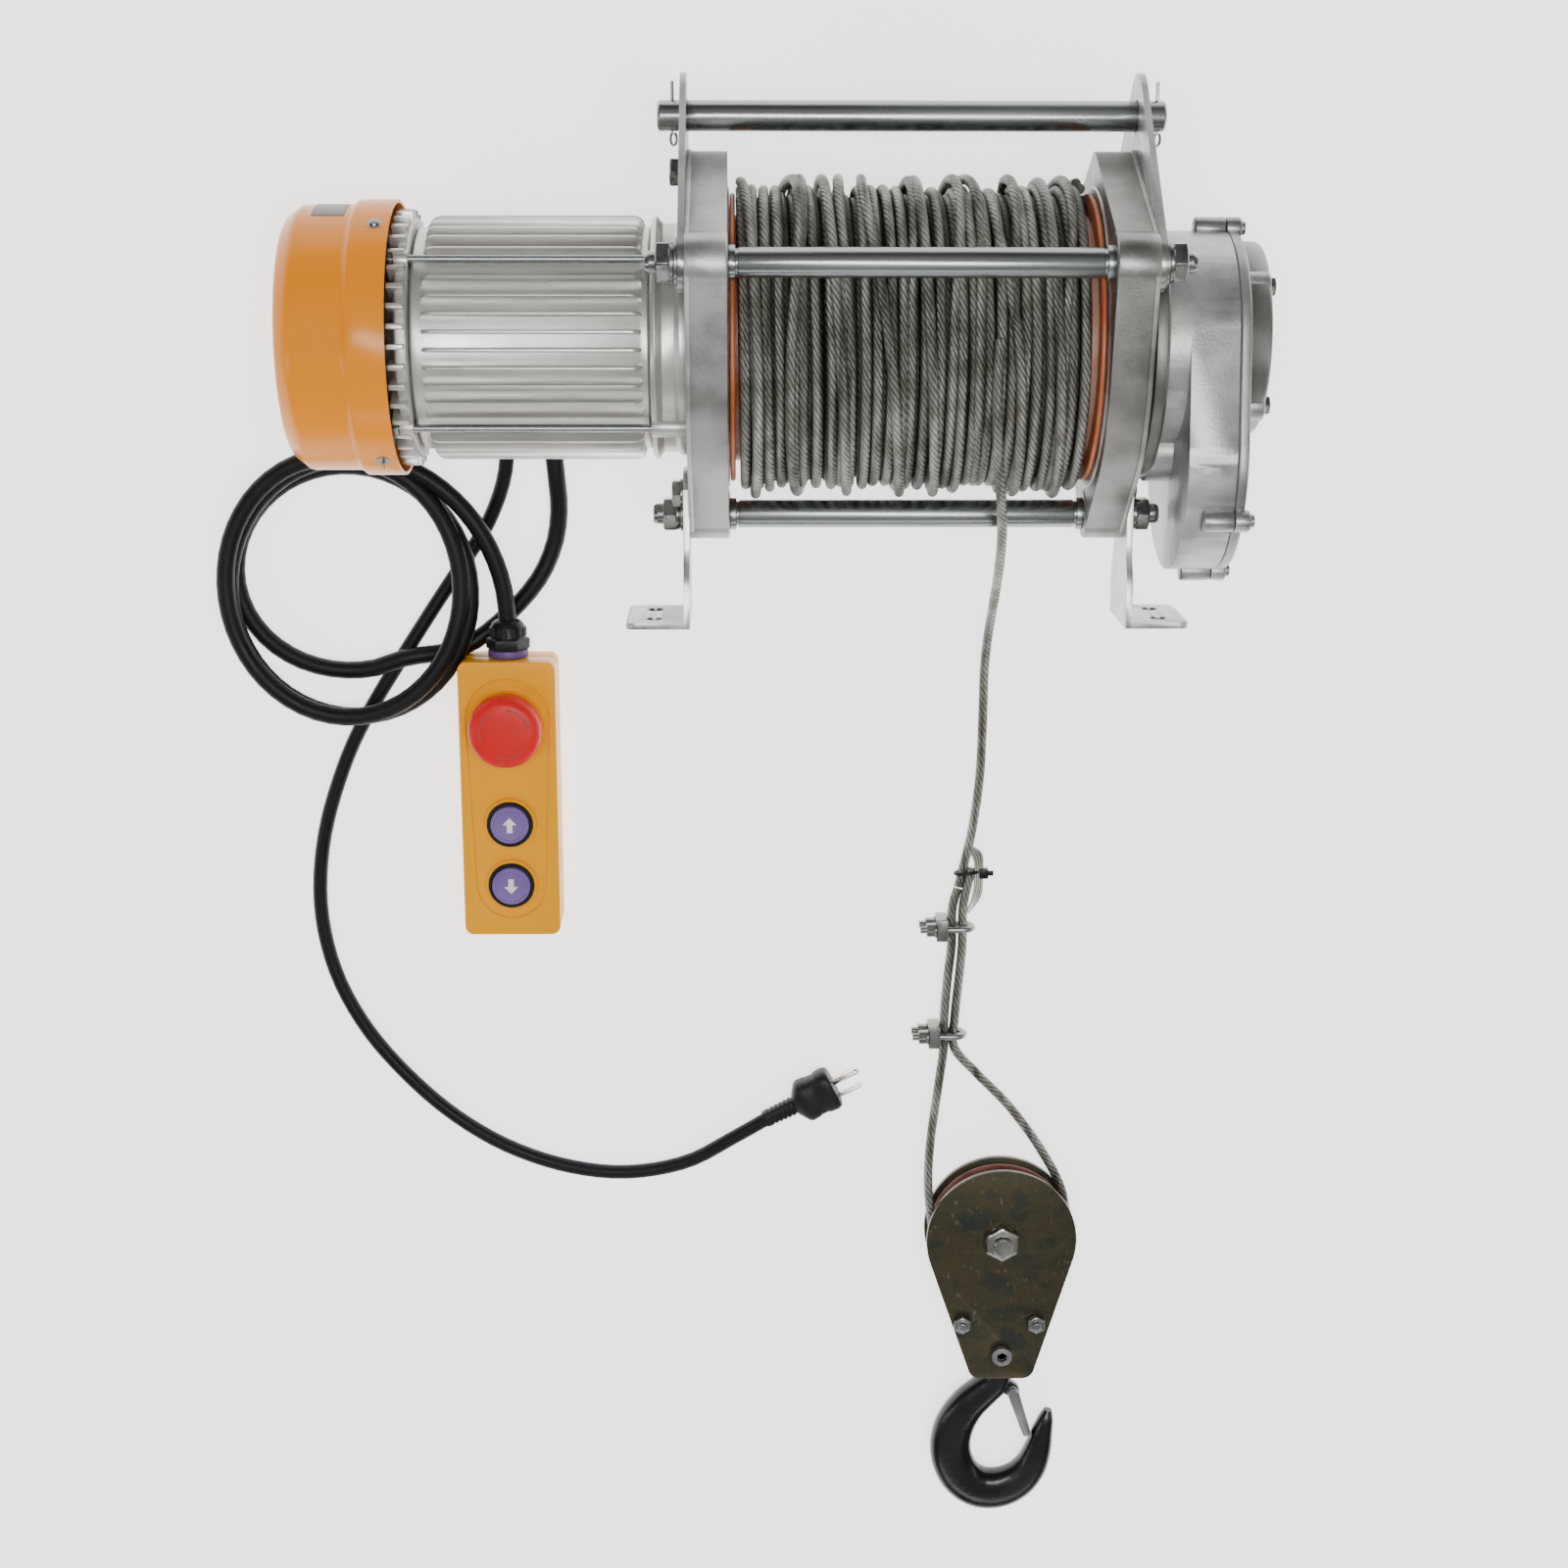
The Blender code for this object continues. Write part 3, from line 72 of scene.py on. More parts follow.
LENS, SENSOR = 54.72, 36.0
NEAREST = 0.05
CAMERA_AT = (-0.1025, 0.0969, 1.6)
TILT, PAN, ROLL = math.radians(14.31), math.radians(1.01), math.radians(0.08)


def make_camera():
    data = bpy.data.cameras.new("camera")
    data.lens = LENS
    data.sensor_width = SENSOR
    data.clip_start = NEAREST
    camera = bpy.data.objects.new("camera", data)
    turn = Matrix.Rotation(-PAN, 4, "Y") @ Matrix.Rotation(-TILT, 4, "X") @ Matrix.Rotation(ROLL, 4, "Z")
    camera.matrix_world = Matrix.Translation(Vector(CAMERA_AT) + DRUM_SHIFT) @ turn
    bpy.context.scene.collection.objects.link(camera)
    bpy.context.scene.camera = camera


make_camera()


# ---------------------------------------------------------------- materials

def nodes_of(name):
    material = bpy.data.materials.new(name)
    material.use_nodes = True
    tree = material.node_tree
    return material, tree, tree.nodes["Principled BSDF"]


def feed(tree, socket, value):
    """Links an output to an input, or sets the input to a constant."""
    if isinstance(value, bpy.types.NodeSocket):
        tree.links.new(value, socket)
    else:
        socket.default_value = value


def math_node(tree, operation, *values):
    node = tree.nodes.new("ShaderNodeMath")
    node.operation = operation
    for socket, value in zip(node.inputs, values):
        feed(tree, socket, value)
    return node.outputs[0]


def mix_node(tree, factor, a, b, blend="MIX"):
    node = tree.nodes.new("ShaderNodeMix")
    node.data_type = "RGBA"
    node.blend_type = blend
    for name, value in (("Factor", factor), ("A", a), ("B", b)):
        feed(tree, node.inputs[name], value)
    return node.outputs["Result"]


def noise_node(tree, scale, detail=4.0, stretch=(1.0, 1.0, 1.0), rough=0.55):
    where = tree.nodes.new("ShaderNodeTexCoord")
    mapping = tree.nodes.new("ShaderNodeMapping")
    feed(tree, mapping.inputs["Scale"], stretch)
    feed(tree, mapping.inputs["Vector"], where.outputs["Object"])
    texture = tree.nodes.new("ShaderNodeTexNoise")
    for name, value in (("Scale", scale), ("Detail", detail), ("Roughness", rough),
                        ("Vector", mapping.outputs["Vector"])):
        feed(tree, texture.inputs[name], value)
    return texture.outputs["Fac"]


def ramp(tree, source, stops):
    node = tree.nodes.new("ShaderNodeValToRGB")
    while len(node.color_ramp.elements) < len(stops):
        node.color_ramp.elements.new(0.5)
    for element, (place, colour) in zip(node.color_ramp.elements, stops):
        element.position = place
        element.color = (*colour, 1.0)
    tree.links.new(source, node.inputs["Fac"])
    return node.outputs["Color"]


def to_range(tree, source, low, high, start=0.3, end=0.7):
    node = tree.nodes.new("ShaderNodeMapRange")
    for name, value in (("Value", source), ("From Min", start), ("From Max", end), ("To Min", low),
                        ("To Max", high)):
        feed(tree, node.inputs[name], value)
    return node.outputs["Result"]


def bump(tree, shader, sources, strength, distance):
    """Sources are heights that are added together."""
    height = sources[0]
    for other in sources[1:]:
        height = math_node(tree, "ADD", height, other)
    node = tree.nodes.new("ShaderNodeBump")
    for name, value in (("Strength", strength), ("Distance", distance), ("Height", height)):
        feed(tree, node.inputs[name], value)
    tree.links.new(node.outputs["Normal"], shader.inputs["Normal"])


def shade(colour, factor):
    return tuple(min(1.0, channel * factor) for channel in colour)


# How far the roughness of a finish strays from its own value.
ROUGH_SPREAD = 0.1


def surface(name, colour, rough, metallic, blotch=30.0, contrast=0.25, grain=900.0, relief=0.15,
            depth=0.0003, stretch=(1.0, 1.0, 1.0), coat=0.0, edge=0.0, worn=None, shine=0.5):
    """A finish with blotchy colour, uneven gloss, a fine relief, and worn paint or metal on sharp edges."""
    material, tree, shader = nodes_of(name)
    wide = noise_node(tree, blotch, 5.0, stretch)
    fine = noise_node(tree, grain, 3.0, stretch)
    tint = ramp(tree, wide, ((0.3, shade(colour, 1 - contrast)), (0.52, colour),
                             (0.75, shade(colour, 1 + contrast))))
    if worn:
        pointed = tree.nodes.new("ShaderNodeNewGeometry").outputs["Pointiness"]
        sharp = to_range(tree, pointed, 0.0, edge, 0.505, 0.56)
        broken = math_node(tree, "MULTIPLY", sharp, to_range(tree, wide, 0.3, 1.0, 0.35, 0.6))
        tint = mix_node(tree, broken, tint, (*worn, 1.0))
    gloss = to_range(tree, wide, max(0.03, rough - ROUGH_SPREAD), min(1.0, rough + ROUGH_SPREAD))
    for name, value in (("Base Color", tint), ("Roughness", gloss), ("Metallic", metallic),
                        ("Coat Weight", coat), ("Coat Roughness", 0.08), ("Specular IOR Level", shine)):
        feed(tree, shader.inputs[name], value)
    bump(tree, shader, [fine], relief, depth)
    return material


# The second argument darkens every colour of the rope, as painted shade, where it is below one.
def rope_surface(name, painted_shade_factor):
    """Six strands laid round the rope, from its own length and girth, with painted shade in the grooves
    between strands and blotches of grease.
    """
    material, tree, shader = nodes_of(name)
    where = tree.nodes.new("ShaderNodeUVMap")
    where.uv_map = "lay"
    split = tree.nodes.new("ShaderNodeSeparateXYZ")
    tree.links.new(where.outputs["UV"], split.inputs["Vector"])

    def wave(around, along):
        share = math_node(tree, "MULTIPLY", split.outputs["X"], along)
        phase = math_node(tree, "MULTIPLY_ADD", split.outputs["Y"], around, share)
        return math_node(tree, "ABSOLUTE", math_node(tree, "SINE", phase))

    full = 2 * math.pi
    strands = wave(3 * full, 3 * full)
    wires = wave(17 * full, -26 * full)
    dirt = noise_node(tree, 60.0, 4.0)
    # Painted shade: the grooves between the strands are painted darker than their crowns.
    groove = ramp(tree, strands,
                  ((0.05, shade((0.1, 0.1, 0.09), painted_shade_factor)), (0.35, shade((0.24, 0.24, 0.22), painted_shade_factor)),
                   (0.9, shade((0.4, 0.4, 0.37), painted_shade_factor))))
    grease = ramp(tree, dirt, ((0.35, (0.5, 0.48, 0.42)), (0.62, (1.0, 1.0, 1.0))))
    # The painted groove shade, multiplied by the blotches of grease.
    groove_shade_and_grease = mix_node(tree, 0.8, groove, grease, "MULTIPLY")
    turns = noise_node(tree, 1.0, 3.0, (170.0, 9.0, 9.0))
    uneven = ramp(tree, turns, ((0.36, (0.34, 0.34, 0.33)), (0.5, (0.8, 0.8, 0.78)),
                                (0.64, (1.0, 1.0, 1.0))))
    feed(tree, shader.inputs["Base Color"], mix_node(tree, 1.0, groove_shade_and_grease, uneven, "MULTIPLY"))
    feed(tree, shader.inputs["Roughness"], to_range(tree, dirt, 0.5, 0.32))
    feed(tree, shader.inputs["Metallic"], 0.85)
    bump(tree, shader, [strands, math_node(tree, "MULTIPLY", wires, 0.3)], 0.7, 0.0006)
    return material


CAST = surface("cast_satin", (0.34, 0.335, 0.32), 0.42, 0.75, 25, 0.1, 700, 0.3, 0.0004, edge=0.5,
               worn=(0.8, 0.8, 0.78))
DARK_CAST = surface("cast_shaded", (0.2, 0.195, 0.18), 0.45, 0.7, 25, 0.14, 700, 0.32, 0.0004, edge=0.5,
                    worn=(0.65, 0.65, 0.62))
GEAR_CAST = surface("cast_gearbox", (0.19, 0.188, 0.175), 0.38, 0.75, 22, 0.07, 600, 0.35, 0.0004, edge=0.4,
                    worn=(0.9, 0.9, 0.9))
ROD = surface("ground_rod", (0.27, 0.29, 0.285), 0.26, 0.95, 30, 0.12, 900, 0.1, 0.0002,
              stretch=(0.2, 3, 3))
ZINC = surface("zinc_plate", (0.25, 0.255, 0.25), 0.27, 0.95, 60, 0.12, 1100, 0.1, 0.0002)
SHEET = surface("zinc_sheet", (0.16, 0.165, 0.155), 0.33, 0.9, 35, 0.14, 900, 0.12, 0.0002, edge=0.6,
                worn=(0.85, 0.85, 0.85))
BOLT = surface("bolt_zinc", (0.22, 0.225, 0.21), 0.28, 0.95, 80, 0.16, 1200, 0.12, 0.0002)
THREAD = surface("thread_steel", (0.24, 0.24, 0.23), 0.4, 0.9, 90, 0.2, 1500, 0.2, 0.0003)
YELLOW = surface("paint_amber", (0.88, 0.27, 0.0), 0.26, 0.0, 8, 0.05, 700, 0.06, 0.0002, coat=0.05,
                 shine=0.2)
PENDANT_YELLOW = surface("plastic_amber", (0.9, 0.38, 0.0), 0.3, 0.0, 8, 0.05, 900, 0.1, 0.0002, shine=0.15)
ORANGE = surface("paint_orange", (0.5, 0.085, 0.0), 0.45, 0.1, 30, 0.22, 600, 0.2, 0.0003, edge=0.7,
                 worn=(0.4, 0.36, 0.3))
MAROON = surface("paint_maroon", (0.13, 0.018, 0.014), 0.5, 0.1, 60, 0.35, 700, 0.3, 0.0003, edge=0.6,
                 worn=(0.45, 0.33, 0.25))
RED = surface("plastic_red", (0.66, 0.012, 0.012), 0.4, 0.0, 12, 0.06, 900, 0.08, 0.0002, shine=0.2)
LAVENDER = surface("plastic_lavender", (0.17, 0.1, 0.33), 0.5, 0.0, 40, 0.1, 900, 0.15, 0.0002)
WHITE = surface("printed_white", (0.85, 0.85, 0.85), 0.5, 0.0, 40, 0.05, 900, 0.1, 0.0001)
BLACK = surface("plastic_black", (0.006, 0.0065, 0.008), 0.38, 0.0, 30, 0.25, 800, 0.15, 0.0002, shine=0.25)
RUBBER = surface("rubber_black", (0.0045, 0.0052, 0.0075), 0.46, 0.0, 25, 0.3, 700, 0.25, 0.0003, shine=0.2)
PLUG_BLACK = surface("plug_rubber", (0.008, 0.008, 0.01), 0.46, 0.0, 25, 0.25, 700, 0.25, 0.0003,
                     shine=0.25)
PURPLE = surface("seal_purple", (0.1, 0.05, 0.2), 0.5, 0.0, 40, 0.2, 900, 0.1, 0.0002)
NICKEL = surface("blade_nickel", (0.78, 0.72, 0.66), 0.25, 1.0, 60, 0.08, 900, 0.08, 0.0001)
FORGED = surface("forged_black", (0.006, 0.0055, 0.005), 0.3, 0.1, 25, 0.4, 300, 0.35, 0.0006, coat=0.15,
                 shine=0.35)
DARK_STEEL = surface("dark_steel", (0.1, 0.1, 0.1), 0.42, 0.85, 50, 0.3, 900, 0.2, 0.0003)
# The end plates are one casting in two copies of the finish: the right copy is painted darker, with duller
# worn edges, as painted shade.
PLATE_LEFT = surface("cast_plate_left", (0.155, 0.15, 0.138), 0.4, 0.85, 22, 0.1, 650, 0.3, 0.0004,
                     edge=0.7, worn=(0.85, 0.85, 0.83))
PLATE_RIGHT_PAINTED_SHADE = surface("cast_plate_right_painted_shade", (0.13, 0.127, 0.115), 0.42, 0.85, 22, 0.14, 650, 0.32, 0.0004,
                      edge=0.7, worn=(0.75, 0.75, 0.72))
MOTOR_CAST = surface("cast_motor", (0.56, 0.545, 0.51), 0.36, 0.7, 16, 0.05, 700, 0.2, 0.0003)
COVER_CAST = surface("cast_cover", (0.15, 0.147, 0.135), 0.38, 0.8, 20, 0.1, 600, 0.3, 0.0004, edge=0.6,
                     worn=(0.85, 0.85, 0.83))
GEAR_RING = surface("cast_ring", (0.17, 0.165, 0.15), 0.4, 0.85, 20, 0.12, 650, 0.25, 0.0003)
GASKET = surface("gasket_dark", (0.1, 0.095, 0.085), 0.6, 0.0, 60, 0.4, 900, 0.3, 0.0004)
LABEL = surface("label_dark", (0.05, 0.052, 0.06), 0.35, 0.2, 60, 0.3, 900, 0.05, 0.0001)
AXLE = surface("axle_zinc", (0.26, 0.255, 0.23), 0.3, 0.95, 60, 0.2, 900, 0.15, 0.0002)
RED_DARK = surface("engraving_red", (0.38, 0.03, 0.03), 0.35, 0.0, 40, 0.1, 900, 0.1, 0.0001)
COPPER = surface("winding_copper", (0.45, 0.16, 0.07), 0.4, 0.9, 60, 0.2, 900, 0.3, 0.0004)
ROPE = rope_surface("rope_wire", 1.0)
# A copy of the rope painted darker, as painted shade on the layer under the outer turns.
ROPE_PAINTED_SHADE = rope_surface("rope_wire_painted_shade", 0.35)


def chromate_surface():
    """Chromate passivation: olive, yellow-green and blue-grey clouds with fine pale specks."""
    material, tree, shader = nodes_of("zinc_chromate")
    clouds = noise_node(tree, 26.0, 6.0, (1.0, 1.3, 1.0), 0.62)
    tint = ramp(tree, clouds, ((0.3, (0.022, 0.032, 0.036)), (0.42, (0.05, 0.05, 0.034)),
                               (0.52, (0.078, 0.066, 0.038)), (0.62, (0.046, 0.054, 0.044)),
                               (0.76, (0.11, 0.08, 0.05))))
    speck = to_range(tree, noise_node(tree, 330.0, 2.0, (1.0, 0.5, 1.0), 0.5), 0.0, 0.35, 0.64, 0.76)
    feed(tree, shader.inputs["Base Color"], mix_node(tree, speck, tint, (0.3, 0.27, 0.2, 1.0)))
    feed(tree, shader.inputs["Roughness"], to_range(tree, clouds, 0.42, 0.24))
    feed(tree, shader.inputs["Metallic"], 0.85)
    bump(tree, shader, [noise_node(tree, 420.0, 3.0)], 0.12, 0.0002)
    return material


CHROMATE = chromate_surface()


# ---------------------------------------------------------------- mesh tools

def on_circle(centre, radius, angle):
    return (centre[0] + radius * math.cos(angle), centre[1] + radius * math.sin(angle))


def circle(centre, radius, steps=48):
    return [on_circle(centre, radius, 2 * math.pi * k / steps) for k in range(steps)]


def band(circles, steps=96):
    """The outline of a band stretched round circles, each (a, b, radius)."""
    points = []
    for a, b, radius in circles:
        points += circle((a, b), radius, steps)
    return [points[i] for i in convex_hull_2d(points)]


def place(axis, along, a, b):
    """A point so far along an axis, with a and b on the next two axes in turn."""
    if axis == "X":
        return Vector((along, a, b))
    if axis == "Y":
        return Vector((b, along, a))
    return Vector((a, b, along))


def closed(mesh):
    """The mesh with coinciding points joined and its faces turned outwards."""
    bmesh.ops.remove_doubles(mesh, verts=mesh.verts, dist=1e-7)
    bmesh.ops.recalc_face_normals(mesh, faces=mesh.faces)
    return mesh


def merge(*meshes):
    """One mesh of several, which are used up."""
    whole = bmesh.new()
    for mesh in meshes:
        copies = {vert: whole.verts.new(vert.co) for vert in mesh.verts}
        for face in mesh.faces:
            whole.faces.new([copies[vert] for vert in face.verts])
        mesh.free()
    return closed(whole)


def set_at(mesh, matrix, shift):
    """The mesh turned about the origin, then shifted."""
    bmesh.ops.rotate(mesh, verts=mesh.verts, cent=(0, 0, 0), matrix=matrix)
    bmesh.ops.translate(mesh, verts=mesh.verts, vec=shift)
    return mesh


def prism(axis, low, high, outline, holes=()):
    """An outline with holes, stretched along an axis."""
    loops = [outline] + list(holes)
    mesh = bmesh.new()
    flat = [point for loop in loops for point in loop]
    ends = [[mesh.verts.new(place(axis, along, a, b)) for a, b in flat] for along in (low, high)]
    if holes:
        caps = tessellate_polygon([[Vector((a, b, 0)) for a, b in loop] for loop in loops])
    else:
        caps = [range(len(flat))]
    for ring in ends:
        for cap in caps:
            mesh.faces.new([ring[i] for i in cap])
    first = 0
    for loop in loops:
        count = len(loop)
        for k in range(count):
            i = first + k
            j = first + (k + 1) % count
            mesh.faces.new((ends[0][i], ends[0][j], ends[1][j], ends[1][i]))
        first += count
    return closed(mesh)


def box(low, high):
    outline = ((low[0], low[1]), (high[0], low[1]), (high[0], high[1]), (low[0], high[1]))
    return prism("Z", low[2], high[2], outline)


def turned(axis, centre, profile, steps=64, ring=False):
    """A shape of revolution, or with ring one that is open along its axis.

    Profile entries are (along, radius) or (along, half the width across flats, 6) for a hexagon.
    """
    mesh = bmesh.new()
    rings = []
    for entry in profile:
        along, radius = entry[0], entry[1]
        if radius == 0:
            rings.append([mesh.verts.new(place(axis, along, centre[0], centre[1]))] * steps)
            continue
        loop = []
        for k in range(steps):
            angle = 2 * math.pi * k / steps
            reach = radius
            if len(entry) == 3:
                reach = radius / math.cos((angle + math.pi / 6) % (math.pi / 3) - math.pi / 6)
            loop.append(mesh.verts.new(place(axis, along, *on_circle(centre, reach, angle))))
        rings.append(loop)
    pairs = list(zip(rings, rings[1:]))
    if ring:
        pairs.append((rings[-1], rings[0]))
    for one, two in pairs:
        for k in range(steps):
            after = (k + 1) % steps
            corners = []
            for vert in (one[k], one[after], two[after], two[k]):
                if vert not in corners:
                    corners.append(vert)
            if len(corners) > 2:
                mesh.faces.new(corners)
    if not ring:
        for loop in (rings[0], rings[-1]):
            if loop[0] is not loop[1]:
                mesh.faces.new(loop)
    return closed(mesh)


def cylinder(axis, centre, low, high, radius, steps):
    return turned(axis, centre, ((low, radius), (high, radius)), steps)


def hexagon(axis, centre, low, high, half_width, steps):
    return turned(axis, centre, ((low, half_width, 6), (high, half_width, 6)), steps)


def collar(axis, centre, low, high, inner, outer, steps):
    """A plain ring, such as a washer."""
    return turned(axis, centre, ((low, inner), (low, outer), (high, outer), (high, inner)), steps,
                  ring=True)


def loft(sections):
    """A skin over sections that have the same number of points, closed at both ends."""
    mesh = bmesh.new()
    loops = [[mesh.verts.new(point) for point in section] for section in sections]
    for one, two in zip(loops, loops[1:]):
        count = len(one)
        for k in range(count):
            after = (k + 1) % count
            mesh.faces.new((one[k], one[after], two[after], two[k]))
    mesh.faces.new(loops[0])
    mesh.faces.new(loops[-1])
    return closed(mesh)


def sweep(path, steps=24, power=1.0):
    """Sections (x, y, z, half width, half height) swept along a path that lies flat."""
    sections = []
    for i, (x, y, z, width, height) in enumerate(path):
        back = path[max(i - 1, 0)]
        ahead = path[min(i + 1, len(path) - 1)]
        along = Vector((ahead[0] - back[0], ahead[1] - back[1], 0)).normalized()
        side = Vector((-along.y, along.x, 0))
        section = []
        for k in range(steps):
            angle = 2 * math.pi * (k + 0.5) / steps
            c, s = math.cos(angle), math.sin(angle)
            u = math.copysign(abs(c) ** power, c) * width
            v = math.copysign(abs(s) ** power, s) * height
            section.append(Vector((x, y, z)) + side * u + Vector((0, 0, v)))
        sections.append(section)
    return loft(sections)


def curve_point(p0, p1, p2, p3, t):
    """A point of the Catmull-Rom curve between p1 and p2."""
    return 0.5 * (2 * p1 + (p2 - p0) * t + (2 * p0 - 5 * p1 + 4 * p2 - p3) * t * t
                  + (3 * p1 - p0 - 3 * p2 + p3) * t ** 3)


def smooth_route(route, spacing):
    """Evenly spaced points on a Catmull-Rom curve through the route."""
    knots = [Vector(point) for point in route]
    knots = [2 * knots[0] - knots[1]] + knots + [2 * knots[-1] - knots[-2]]
    fine = []
    for i in range(1, len(knots) - 2):
        fine += [curve_point(*knots[i - 1:i + 3], k / 24) for k in range(24)]
    fine.append(knots[-2])
    total = sum((b - a).length for a, b in zip(fine, fine[1:]))
    count = max(2, round(total / spacing))
    points = [fine[0]]
    run = 0.0
    for a, b in zip(fine, fine[1:]):
        length = (b - a).length
        while length and len(points) < count and run + length >= total * len(points) / count:
            points.append(a.lerp(b, (total * len(points) / count - run) / length))
        run += length
    points.append(fine[-1])
    return points


def tube_mesh(points, radius, sides=16, lay=None):
    """A round tube along points, without twist.

    Its UV map counts turns of lay along it, or metres without lay, and goes once round it.
    """
    mesh = bmesh.new()
    uv = mesh.loops.layers.uv.new("lay")
    tangents = []
    for i in range(len(points)):
        tangents.append((points[min(i + 1, len(points) - 1)] - points[max(i - 1, 0)]).normalized())
    side = tangents[0].orthogonal().normalized()
    rings = []
    run = 0.0
    runs = []
    for i, point in enumerate(points):
        if i:
            run += (point - points[i - 1]).length
            side = (side - tangents[i] * side.dot(tangents[i])).normalized()
        runs.append(run)
        other = tangents[i].cross(side)
        rings.append([mesh.verts.new(point + radius * (side * math.cos(t) + other * math.sin(t)))
                      for t in (2 * math.pi * k / sides for k in range(sides))])
    for i in range(len(rings) - 1):
        for k in range(sides):
            after = (k + 1) % sides
            face = mesh.faces.new((rings[i][k], rings[i][after], rings[i + 1][after], rings[i + 1][k]))
            spots = ((i, k), (i, k + 1), (i + 1, k + 1), (i + 1, k))
            for loop, (ring_at, step) in zip(face.loops, spots):
                loop[uv].uv = (runs[ring_at] / (lay or 1.0), step / sides)
    mesh.faces.new(list(reversed(rings[0])))
    mesh.faces.new(rings[-1])
    return mesh


def object_of(name, mesh):
    data = bpy.data.meshes.new(name)
    mesh.to_mesh(data)
    mesh.free()
    thing = bpy.data.objects.new(name, data)
    bpy.context.scene.collection.objects.link(thing)
    return thing


def piece(name, mesh, material, body="hoist", bevel=0.0, segments=2, replaces=(), cut=(), add=(),
          angle=32):
    """Puts a mesh in the scene, riding on a CAD body. Edges sharper than angle stay sharp."""
    thing = object_of(name, mesh)
    data = thing.data
    data.materials.append(material)
    steps = [("UNION", solid) for solid in add] + [("DIFFERENCE", solid) for solid in cut]
    tools = []
    for operation, solid in steps:
        tool = object_of(name + "_tool", solid)
        modifier = thing.modifiers.new("cut", "BOOLEAN")
        modifier.operation = operation
        modifier.solver = "EXACT"
        modifier.object = tool
        tools.append(tool)
    if bevel:
        modifier = thing.modifiers.new("edges", "BEVEL")
        modifier.width = bevel
        modifier.segments = segments
        modifier.limit_method = "ANGLE"
        modifier.angle_limit = math.radians(30)
        modifier.use_clamp_overlap = True
        modifier.harden_normals = False
    if thing.modifiers:
        bpy.context.view_layer.update()
        made = bpy.data.meshes.new_from_object(thing.evaluated_get(bpy.context.evaluated_depsgraph_get()))
        thing.modifiers.clear()
        thing.data = made
        data = made
    for tool in tools:
        bpy.data.objects.remove(tool)
    thing.location = DRUM_SHIFT
    for face in data.polygons:
        face.use_smooth = True
    data.set_sharp_from_angle(angle=math.radians(angle))
    if body:
        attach(thing, body)
    if replaces:
        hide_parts(*replaces)
    return thing


# ---------------------------------------------------------------- cords and rope

CABLE_D, CORD_D, ROPE_D = 0.012, 0.01, 0.0064
MAINS_ROUTE = (
    (-0.258, -0.082, 0.018), (-0.26, -0.095, 0.015), (-0.266, -0.113, 0.0085), (-0.278, -0.137, 0.0053),
    (-0.314, -0.19, 0.0053), (-0.359, -0.26, 0.0053), (-0.38, -0.305, 0.0053), (-0.3935, -0.352, 0.0053),
    (-0.397, -0.4, 0.0053), (-0.3885, -0.446, 0.0053), (-0.369, -0.487, 0.0053), (-0.341, -0.523, 0.0053),
    (-0.308, -0.554, 0.0053), (-0.27, -0.578, 0.0053), (-0.228, -0.593, 0.0053), (-0.186, -0.5975, 0.0056),
    (-0.144, -0.589, 0.0075), (-0.11, -0.569, 0.011), (-0.0875, -0.5552, 0.012),
)
FALL_ROUTE = (
    (0.047, 0.006, 0.2057), (0.046, -0.02, 0.2046), (0.047, -0.045, 0.1975), (0.0505, -0.072, 0.179),
    (0.056, -0.101, 0.15), (0.0595, -0.127, 0.12), (0.0612, -0.153, 0.087), (0.062, -0.179, 0.053),
    (0.0622, -0.205, 0.0235), (0.0622, -0.231, 0.0068), (0.0622, -0.264, 0.0037), (0.061, -0.306, 0.0037),
    (0.056, -0.346, 0.0045), (0.0474, -0.3837, 0.0074),
)
LEFT_LEG = (
    (0.047, -0.385, 0.0075), (0.043, -0.399, 0.0114), (0.043, -0.425, 0.0114), (0.0405, -0.45, 0.0128),
    (0.0385, -0.478, 0.0142), (0.0385, -0.502, 0.0142), (0.035, -0.53, 0.0165), (0.03, -0.57, 0.0195),
    (0.029, -0.605, 0.02),
)
RIGHT_LEG = (
    (0.125, -0.608, 0.02), (0.109, -0.576, 0.0195), (0.086, -0.544, 0.018), (0.062, -0.519, 0.016),
    (0.046, -0.5, 0.0142), (0.046, -0.478, 0.0142), (0.0485, -0.45, 0.0128), (0.0505, -0.425, 0.0114),
    (0.0505, -0.399, 0.0114), (0.053, -0.385, 0.0102), (0.0568, -0.37, 0.008),
)
ROPE_LAY = 0.03
# From the sheave's axis to the middle of the rope in its groove.
GROOVE_REACH = 0.0476
SHEAVE_AT = middle("sheave")


